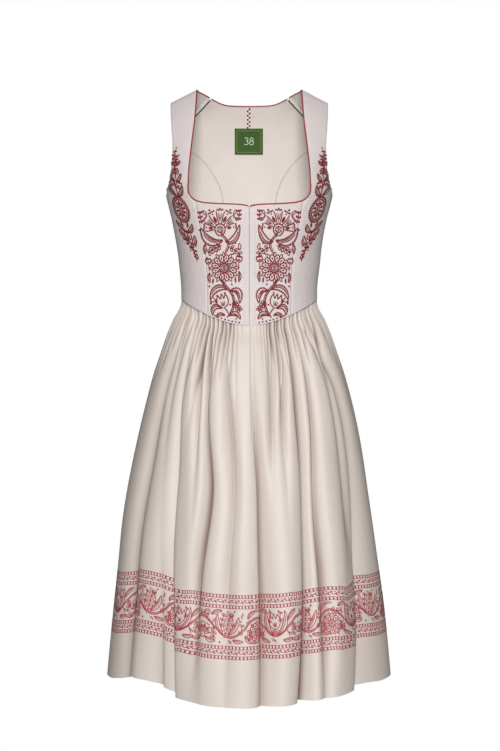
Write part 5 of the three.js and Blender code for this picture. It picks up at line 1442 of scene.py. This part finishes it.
def side_place(sign):
    """u: mm across from the strip's middle line, v: height z. The middle line runs from strap to waist."""
    R, C = P1s.shape[:2]
    rows_z = P1s[:, C // 2, 2]
    top_row = int(np.argmax(rows_z[:nr + 120] > -112)) if (rows_z[:nr + 120] > -112).any() else nr + 100
    zr = rows_z[:top_row + 1]
    order = np.argsort(zr)
    # length across each row from its inner edge
    dc = np.linalg.norm(np.diff(P1s, axis=1), axis=2)
    sc = np.concatenate([np.zeros((R, 1)), np.cumsum(dc, 1)], 1)

    def f(u, v):
        u = np.asarray(u, float); v = np.asarray(v, float)
        r = np.interp(v, zr[order], np.arange(len(zr))[order].astype(float))
        i = np.clip(np.floor(r).astype(int), 0, R - 2); fr = (r - i)
        out = np.zeros(u.shape + (3,)); nn = np.zeros(u.shape + (3,))
        mid = np.interp(v, STRIP_Z, STRIP_X)
        want = mid + u
        for dr, w in ((0, 1 - fr), (1, fr)):
            row = i + dr
            X = P1s[row][..., 0]
            # x grows along the row in front of the side
            flat = X.reshape(-1, C); wx = want.reshape(-1)
            k = np.clip((flat < wx[:, None]).sum(1) - 1, 0, C - 2)
            a = flat[np.arange(len(wx)), k]; b = flat[np.arange(len(wx)), k + 1]
            t = np.clip((wx - a) / np.maximum(b - a, 1e-6), -0.5, 1.5)
            rr = row.reshape(-1)
            p = P1s[rr, k] * (1 - t)[:, None] + P1s[rr, k + 1] * t[:, None]
            n = N1s[rr, k] * (1 - t)[:, None] + N1s[rr, k + 1] * t[:, None]
            out += p.reshape(out.shape) * w[..., None]; nn += n.reshape(out.shape) * w[..., None]
        nn = unit(nn)
        if sign < 0:
            out, nn = mirror(out), mirror(nn)
        return out, nn
    return f


# middle line and half width of the strip, measured across the picture plane (x in mm)
STRIP_Z = np.array([-318.0, -310, -296, -283, -270, -256, -244, -228, -210, -190, -170, -150, -135, -116])
STRIP_X = np.array([93.0, 96.5, 101.5, 107.5, 113.0, 117.5, 121.0, 124.5, 130.5, 134.5, 136.0, 136.5, 136.0, 132.0])
STRIP_H = np.array([2.0, 4.0, 8.0, 12.5, 15.0, 15.5, 14.5, 15.0, 15.5, 14.5, 12.0, 10.0, 7.0, 3.0])


def strip(D):
    L = D.line
    w = 1.25
    # stem with leaves from the lower tip
    L(bez([(1, -317), (-1, -300), (3, -284), (0, -266)]), 1.4)
    D.sprig(bez([(0.5, -315), (-2, -302), (1, -291)]), 4, 4.8, 2.6, solid=True)
    D.sprig(bez([(1.5, -298), (6.5, -291), (10, -281)]), 3, 4.6, 2.5, solid=True)
    D.dot(-5.0, -298, 1.2); D.dot(-7.5, -289, 1.3); D.dot(7.0, -300, 1.1); D.dot(-3.8, -307, 1.1)
    D.leaf(bez([(0, -288), (-10, -285), (-13.5, -270)], 16), 6.6, teeth=1.6, gap=2.2, w=w)
    D.leaf(bez([(2, -284), (11, -279), (14, -265)], 16), 6.6, teeth=1.6, gap=2.2, w=w)
    D.tulip(0, -280, 90, 15, 11)
    D.leaf(bez([(-1, -267), (-12, -264), (-15, -250)], 16), 6.2, teeth=1.5, gap=2.2, w=w)
    D.leaf(bez([(2, -266), (12, -262), (15, -249)], 16), 6.2, teeth=1.5, gap=2.2, w=w)
    D.solid_leaf(bez([(-3, -259), (-6, -254), (-7, -249)]), 3.0)
    D.solid_leaf(bez([(3, -259), (6, -254), (7.5, -249)]), 3.0)
    # a narrow rosette with a toothed rim
    cx, cy = 0.0, -228.0
    L(circle((cx, cy), 14.2, ry=21.5, n=60), 1.6)
    D.teeth(circle((cx, cy), 14.2, ry=21.5, n=60), -3.0, 2.7, 1.15, start=0.0, end=1.0, lean=0.1)
    L(circle((cx, cy), 10.6, ry=17.0, n=50), 1.2)
    D.hatch(circle((cx, cy), 14.0, ry=21.3, n=60), circle((cx, cy), 10.8, ry=17.2, n=60), 3.1, 1.1, 0.0, 0.98, 0.0, 1.0)
    for k in range(10):
        a = math.radians(k * 36 + 18)
        c = bez([(cx + 4.0 * math.cos(a), cy + 7.2 * math.sin(a)), (cx + 9.6 * math.cos(a), cy + 15.4 * math.sin(a))], 8)
        D.solid_leaf(c, 3.4)
    L(circle((cx, cy), 3.6, ry=6.2, n=26), 1.4)
    L([(cx, cy - 4.0), (cx, cy + 4.0)], 1.9)
    # above: vine with paired leaves and buds
    L(bez([(0, -207), (-5, -197), (4, -188), (0, -177)]), 1.4); L(bez([(0, -177), (-4, -168), (3, -158), (0, -146)]), 1.4)
    D.leaf(bez([(-1, -205), (-10, -202), (-13, -188)], 16), 6.0, teeth=1.5, gap=2.1, w=w)
    D.leaf(bez([(1, -204), (11, -200), (13.5, -186)], 16), 6.0, teeth=1.5, gap=2.1, w=w)
    D.tulip(-4.5, -193, 108, 12, 9)
    D.tulip(5.5, -189, 72, 12, 9)
    D.leaf(bez([(-1, -182), (-9, -179), (-11.5, -167)], 14), 5.2, teeth=1.3, gap=2.1, w=w)
    D.leaf(bez([(1, -180), (10, -176), (11.5, -163)], 14), 5.2, teeth=1.3, gap=2.1, w=w)
    D.petals(0, -164, 7, 2.2, 8.0, 3.8, a0=-30, a1=210, inner=False, w=1.2)
    D.dot(0, -165.5, 1.7)
    D.sprig(bez([(0, -156), (-4, -146), (-2.5, -134)]), 4, 4.6, 2.4, solid=True)
    D.sprig(bez([(0, -150), (4.5, -139), (2.0, -123)]), 4, 4.4, 2.3, solid=True)
    D.leaf(bez([(-2, -152), (-8, -150), (-9.5, -143)], 12), 4.4, w=1.1)
    D.leaf(bez([(2, -150), (8.5, -148), (9.5, -140)], 12), 4.4, w=1.1)
    D.dot(-6.5, -133, 1.1); D.dot(1.0, -118.5, 1.2); D.dot(7.5, -131, 1.1)


for sgn, tag in ((1, "r"), (-1, "l")):
    S = Strokes(lift=0.45, height=0.38, across=4)
    D = Motifs(S, side_place(sgn), 1.3, 1.5)
    strip(D)
    ob = S.mesh("embroidery_side_" + tag, [RED]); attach(ob, "root")
    print("EMB", ob.name, len(ob.data.polygons))


# =====================================================================================
# Printed border on the skirt, in cloth coordinates: u along the hem, v above the hem (mm)
# =====================================================================================
class ClothMap:
    """Looks up points of one skirt width by cloth lengths."""
    def __init__(self, name):
        self.P, self.N, self.u, self.v = SK[name]

    def inside(self, u0, u1):
        return u1 > self.u[0] and u0 < self.u[-1]

    def __call__(self, u, v):
        u = np.asarray(u, float); v = np.asarray(v, float)
        R, C = self.v.shape
        uc = np.clip(u, self.u[0] + 0.05, self.u[-1] - 0.05)
        j = np.clip(np.searchsorted(self.u, uc) - 1, 0, C - 2)
        fu = (uc - self.u[j]) / np.maximum(self.u[j + 1] - self.u[j], 1e-9)
        out = 0; nn = 0
        for dj, wj in ((0, 1 - fu), (1, fu)):
            col = j + dj
            V = self.v[:, col].reshape(R, -1)                     # falls with the row
            vv = v.reshape(-1)
            i = np.clip((V > vv[None]).sum(0) - 1, 0, R - 2)
            a = V[i, np.arange(len(vv))]; b = V[i + 1, np.arange(len(vv))]
            t = np.clip((a - vv) / np.maximum(a - b, 1e-9), 0, 1)
            cc = col.reshape(-1)
            p = self.P[i, cc] * (1 - t)[:, None] + self.P[i + 1, cc] * t[:, None]
            n = self.N[i, cc] * (1 - t)[:, None] + self.N[i + 1, cc] * t[:, None]
            out = out + p.reshape(u.shape + (3,)) * wj[..., None]; nn = nn + n.reshape(u.shape + (3,)) * wj[..., None]
        return out, unit(nn)


class Clipped:
    """Strokes that keep only what lies on one width of cloth."""
    def __init__(self, S, cmap):
        self.S, self.m = S, cmap
        self.a, self.b = cmap.u[0], cmap.u[-1]

    def add(self, pts, width, place, height=None, step=None, taper=(0, 0)):
        pts = np.asarray(pts, float)
        if pts[:, 0].max() < self.a + 0.4 or pts[:, 0].min() > self.b - 0.4:
            return
        self.S.add(pts, width, self.m, height=height, step=step or 1.5, taper=taper)


# seven repeats of the border fill a width of cloth and a bit, so the repeat runs on round the skirt
U_CF = float(SK["skirt_front_l"][2][-1])
U_ALL = u_start
REPEAT = 206.0


def squares_row(D, v, u0, u1, pitch=6.2, size=3.9):
    """A ladder row: two rails with red bars between them, white squares left free."""
    D.S.add(np.stack([np.linspace(u0, u1, int((u1 - u0) / 2.0)), np.full(int((u1 - u0) / 2.0), v - 2.7)], 1), 0.95, None, step=2.2)
    D.S.add(np.stack([np.linspace(u0, u1, int((u1 - u0) / 2.0)), np.full(int((u1 - u0) / 2.0), v + 2.7)], 1), 0.95, None, step=2.2)
    n = int((u1 - u0) / pitch)
    for k in range(n):
        x = u0 + (k + 0.5) * pitch
        D.S.add([(x, v - 2.6), (x, v + 2.6)], 2.6, None, step=2.6)


def twig_row(D, v, u0, u1, seed):
    """A narrow row of a bent twig with small leaves."""
    r = np.random.default_rng(seed)
    x = u0; up = 1
    pitch = 13.0
    while x < u1 - 2:
        a, b = (x, v - 2.3 * up), (x + pitch * 0.55, v + 2.3 * up)
        D.line([a, b], 1.15, taper=(0.2, 0.2), step=2.0)
        D.line([b, (x + pitch, v - 2.3 * -up if False else v - 2.3 * up)], 1.15, taper=(0.2, 0.2), step=2.0)
        D.solid_leaf(bez([(x + 3.0, v + 0.4 * up), (x + 5.0, v - 2.0 * up), (x + 8.0, v - 3.2 * up)], 6), 1.9)
        D.solid_leaf(bez([(x + pitch * 0.55, v + 2.0 * up), (x + pitch * 0.75, v + 3.0 * up), (x + pitch * 0.95, v + 3.4 * up)], 6), 1.7)
        D.dot(x + pitch * 0.55 - 4.5, v + 3.2 * up, 0.85)
        x += pitch


class Narrow:
    """Draws the repeat, laid out on 232 mm, a little narrower."""
    def __init__(self, S, u):
        self.S, self.u, self.k = S, u, REPEAT / 232.0

    def add(self, pts, width, place, **kw):
        pts = np.array(pts, float)
        pts[:, 0] = self.u + (pts[:, 0] - self.u) * self.k
        self.S.add(pts, width, place, **kw)


def border_repeat(D, u):
    """One repeat of the flower band: a running vine with a tulip, a daisy and a carnation head."""
    D = Motifs(Narrow(D.S, u), None, D.w, D.gain)
    L = D.line
    w = 1.25
    c = 139.0
    vine = [bez([(u + 0, c - 4), (u + 20, c + 26), (u + 38, c + 20), (u + 58, c - 2)], 26),
            bez([(u + 58, c - 2), (u + 78, c - 27), (u + 96, c - 20), (u + 116, c + 3)], 26),
            bez([(u + 116, c + 3), (u + 136, c + 27), (u + 154, c + 20), (u + 174, c - 3)], 26),
            bez([(u + 174, c - 3), (u + 194, c - 27), (u + 214, c - 22), (u + 232, c - 4)], 26)]
    for k, a in enumerate(vine):
        L(a, w)
        D.teeth(a, 3.4 if k % 2 else -3.4, 4.0, 1.0, start=0.08, end=0.92)
    # daisy under the first arch
    x, y = u + 29, c - 9.5
    D.petals(x, y, 10, 6.0, 18.4, 8.2, a0=10, a1=370, inner=True, w=1.15)
    D.petals(x, y, 10, 13.0, 20.5, 3.6, a0=28, a1=388, inner=False, w=0.95)
    L(circle((x, y), 5.0), 1.3); D.dot(x, y, 2.1)
    L(bez([(x + 12, y - 7), (u + 48, c - 22), (u + 60, c - 8)], 12), 1.1)
    # tulip over the first dip
    T = D.tulip(u + 84, c - 6, 96, 27, 21)
    D.petals(u + 84, c - 7, 5, 2.5, 8.5, 3.2, a0=200, a1=340, inner=False, w=0.95)
    L(bez([(u + 84, c - 3), (u + 83, c - 12), (u + 78, c - 20)], 10), 1.1)
    D.leaf(bez([(u + 80, c - 16), (u + 65, c - 4), (u + 60, c + 12), (u + 67, c + 26)], 18), 9.4, teeth=1.5, gap=3.2, w=1.05)
    D.leaf(bez([(u + 86, c - 16), (u + 102, c - 8), (u + 109, c + 8), (u + 104, c + 27)], 18), 9.4, teeth=1.5, gap=3.2, w=1.05)
    # carnation under the second arch
    cx, cy = u + 146, c - 15.5
    for k, a in enumerate(np.linspace(155, 25, 5)):
        ar = math.radians(a); d = np.array([math.cos(ar), math.sin(ar)]); m = np.array([-d[1], d[0]])
        p0 = np.array([cx, cy]); R = 21.0
        L(bez([p0 + d * 5 - m, p0 + d * 14 - m * 4.4, p0 + d * (R - 1) - m * 4.6], 9), 1.05)
        L(bez([p0 + d * 5 + m, p0 + d * 14 + m * 4.4, p0 + d * (R - 1) + m * 4.6], 9), 1.05)
        L(np.array([p0 + d * (R - 1) - m * 4.6, p0 + d * (R + 1.6) - m * 2.4, p0 + d * (R - 1.2), p0 + d * (R + 1.6) + m * 2.4, p0 + d * (R - 1) + m * 4.6]), 1.0)
        L(bez([p0 + d * 8, p0 + d * (R - 4)], 4), 1.0)
        for q in (-1, 1):
            L(bez([p0 + d * 11 + m * q * 1.6, p0 + d * (R - 4) + m * q * 2.6], 4), 0.8)
    L(circle((cx, cy), 5.2), 1.2); L([(cx - 2.4, cy), (cx + 2.4, cy)], 1.1)
    D.leaf(bez([(cx - 5, cy - 3), (cx - 16, cy - 12), (cx - 31, cy - 9)], 14), 7.0, teeth=1.2, gap=3.0, w=1.0)
    D.leaf(bez([(cx + 5, cy - 3), (cx + 16, cy - 12), (cx + 28, cy - 9)], 14), 7.0, teeth=1.2, gap=3.0, w=1.0)
    # spray over the last dip
    D.sprig(bez([(u + 190, c - 21), (u + 197, c - 2), (u + 203, c + 25)], 18), 5, 9.0, 4.4)
    D.leaf(bez([(u + 188, c - 14), (u + 173, c + 2), (u + 177, c + 22)], 16), 9.0, teeth=1.3, gap=3.0, w=1.05)
    D.leaf(bez([(u + 198, c - 14), (u + 217, c - 4), (u + 222, c + 18)], 16), 9.0, teeth=1.3, gap=3.0, w=1.05)
    D.leaf(bez([(u + 208, c - 22), (u + 218, c - 27), (u + 230, c - 24)], 10), 6.2, w=1.1)
    # small sprays that fill the ground
    D.sprig(bez([(u + 12, c - 3), (u + 8, c - 12), (u + 12, c - 20)], 10), 3, 6.0, 3.4)
    D.sprig(bez([(u + 47, c - 4), (u + 53, c - 10), (u + 51, c - 19)], 10), 3, 6.0, 3.4)
    D.sprig(bez([(u + 30, c + 16), (u + 42, c + 12), (u + 52, c + 14)], 10), 3, 6.0, 3.4)
    D.sprig(bez([(u + 120, c + 5), (u + 124, c - 6), (u + 120, c - 16)], 10), 3, 6.4, 3.4)
    D.sprig(bez([(u + 168, c + 1), (u + 172, c - 8), (u + 168, c - 20)], 10), 3, 6.4, 3.4)
    D.sprig(bez([(u + 138, c + 20), (u + 148, c + 25), (u + 158, c + 19)], 10), 3, 6.0, 3.2)
    D.sprig(bez([(u + 222, c - 14), (u + 227, c - 6), (u + 228, c + 4)], 10), 2, 5.6, 3.2)
    D.sprig(bez([(u + 70, c + 4), (u + 76, c + 14), (u + 74, c + 24)], 10), 2, 5.0, 3.0)
    D.sprig(bez([(u + 97, c + 6), (u + 93, c + 16), (u + 96, c + 24)], 10), 2, 5.0, 3.0)
    D.sprig(bez([(u + 186, c - 2), (u + 184, c + 10), (u + 190, c + 22)], 10), 3, 5.4, 3.0)
    D.sprig(bez([(u + 209, c - 2), (u + 211, c + 10), (u + 206, c + 20)], 10), 2, 5.4, 3.0)
    # a second line runs with the vine, and stitched strokes shade the ground beside it
    for k, a in enumerate(vine):
        L(a + np.array([0.0, 3.0 if k % 2 else -3.0]), 0.9)
    for x0, y0, x1, y1 in ((4, 6, 12, 12), (18, 27, 34, 28), (60, 20, 64, 27), (74, -22, 84, -27), (106, -8, 112, -18), (126, -22, 132, -27),
                           (150, 27, 162, 27), (166, 8, 172, 14), (198, -24, 206, -28), (226, 16, 231, 26), (36, 8, 46, 12), (12, -26, 24, -28)):
        L(bez([(u + x0, c + y0), (u + (x0 + x1) / 2 + 1.5, c + (y0 + y1) / 2 + 3), (u + x1, c + y1)], 8), 1.0)
        L(bez([(u + x0 + 1, c + y0 - 2.6), (u + (x0 + x1) / 2 + 2.5, c + (y0 + y1) / 2 + 0.2), (u + x1 + 1, c + y1 - 2.4)], 8), 0.8)
    # leaves and seeds in the corners
    D.leaf(bez([(u + 44, c + 22), (u + 54, c + 28), (u + 66, c + 27)], 10), 6.2, w=1.1)
    D.leaf(bez([(u + 8, c + 14), (u + 12, c + 24), (u + 24, c + 28)], 10), 6.2, w=1.1)
    D.leaf(bez([(u + 108, c + 8), (u + 118, c + 22), (u + 130, c + 27)], 12), 6.8, w=1.1)
    D.leaf(bez([(u + 164, c + 20), (u + 172, c + 27), (u + 186, c + 28)], 10), 6.2, w=1.1)
    D.leaf(bez([(u + 52, c - 20), (u + 60, c - 27), (u + 72, c - 28)], 10), 6.2, w=1.1)
    D.leaf(bez([(u + 98, c - 24), (u + 108, c - 28), (u + 118, c - 22)], 10), 6.4, w=1.1)
    D.leaf(bez([(u + 1, c - 14), (u + 5, c - 24), (u + 15, c - 28)], 10), 6.4, w=1.1)
    for dx, dy in ((16, 4), (45, 8), (57, -16), (73, 27), (92, 26), (112, -13), (124, -4), (134, 13), (160, 10), (170, -17), (183, 27), (213, 27), (226, 10), (40, -27), (182, -27)):
        D.dot(u + dx, c + dy, 1.5)


total = 0
for name in SK:
    cm = ClothMap(name)
    S = Strokes(lift=0.10, height=0.12, across=2)
    D = Motifs(Clipped(S, cm), None, 1.15, 1.5)
    a, b = cm.u[0], cm.u[-1]
    k0 = math.floor((a - U_CF + 20) / REPEAT); k1 = math.ceil((b - U_CF + 20) / REPEAT)
    for k in range(k0, k1 + 1):
        border_repeat(D, U_CF - 20 + k * REPEAT)
    for v in (86.0, 103.0, 174.0, 192.0):
        squares_row(D, v, a + 0.5, b - 0.5)
    twig_row(D, 94.5, a + 0.5, b - 0.5, 3)
    twig_row(D, 183.0, a + 0.5, b - 0.5, 4)
    ob = S.mesh("print_" + name[6:], [PRINT], turned=True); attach(ob, "root")
    total += len(ob.data.polygons)
    print("PRINT", ob.name, len(ob.data.polygons), "u", a, b)


# =====================================================================================
# Camera, lights and floor
# =====================================================================================
scene = bpy.context.scene
cam_data = bpy.data.cameras.new("camera")
cam_data.sensor_fit = "VERTICAL"
cam_data.sensor_height = 36.0
cam_data.lens = 76.49
cam_data.clip_end = 50
cam = bpy.data.objects.new("camera", cam_data)
cam.location = (0.0013, -3.0, -0.5367)
cam.rotation_euler = (math.radians(90), 0, 0)
scene.collection.objects.link(cam)
scene.camera = cam

floor_me = bpy.data.meshes.new("floor")
n = 96
ring = [(1.85 * math.cos(2 * math.pi * k / n), 1.85 * math.sin(2 * math.pi * k / n), -1.75) for k in range(n)]
floor_me.from_pydata(ring, [], [tuple(range(n))])
floor = bpy.data.objects.new("floor", floor_me)
scene.collection.objects.link(floor)
F = Nodes("pale_floor")
co = F.node("ShaderNodeTexCoord").outputs["Object"]
F.link(F.ramp(F.noise(co, 3.0, 2.0), [(0.3, (0.86, 0.86, 0.86, 1)), (0.7, (0.9, 0.9, 0.9, 1))]), F.bsdf.inputs["Base Color"])
F.bsdf.inputs["Roughness"].default_value = 0.9
floor_me.materials.append(F.mat)


def area_light(name, where, target, size, size_y, power, color=(1, 1, 1), spread=180.0):
    d = bpy.data.lights.new(name, "AREA")
    d.shape = "RECTANGLE"; d.size = size; d.size_y = size_y
    d.energy = power; d.color = color
    d.spread = math.radians(spread)
    o = bpy.data.objects.new(name, d)
    o.location = where
    v = np.array(target, float) - np.array(where, float)
    v = v / np.linalg.norm(v)
    yaw = math.atan2(v[0], v[1])
    pitch = math.asin(v[2])
    o.rotation_euler = (math.pi / 2 + pitch, 0, -yaw)
    o.visible_camera = False
    scene.collection.objects.link(o)
    return o


area_light("key_front", (0.03, -3.3, 0.12), (0.0, 0.0, -0.55), 0.8, 1.0, 93.0, (1.0, 0.992, 0.985))
area_light("top_front", (0.0, -2.0, 1.5), (0.0, 0.0, -0.25), 1.2, 0.7, 15.0, (1.0, 0.99, 0.98))
area_light("fill_back", (0.0, 2.8, 0.4), (0.0, 0.0, -0.6), 0.42, 1.4, 58.0, (1.0, 1.0, 1.0))

world = bpy.data.worlds.new("studio")
scene.world = world
world.use_nodes = True
wt = world.node_tree
wt.nodes.clear()
wo = wt.nodes.new("ShaderNodeOutputWorld")
amb = wt.nodes.new("ShaderNodeBackground"); amb.inputs[0].default_value = (1.0, 0.90, 0.82, 1); amb.inputs[1].default_value = 0.085
clear = wt.nodes.new("ShaderNodeBackground"); clear.inputs[0].default_value = (1, 1, 1, 1); clear.inputs[1].default_value = 1.0
lp = wt.nodes.new("ShaderNodeLightPath"); mixw = wt.nodes.new("ShaderNodeMixShader")
wt.links.new(lp.outputs["Is Camera Ray"], mixw.inputs[0])
wt.links.new(amb.outputs[0], mixw.inputs[1]); wt.links.new(clear.outputs[0], mixw.inputs[2])
wt.links.new(mixw.outputs[0], wo.inputs["Surface"])
scene.view_settings.view_transform = "Standard"
scene.view_settings.look = "None"
scene.view_settings.exposure = 0.0
scene.view_settings.gamma = 1.0
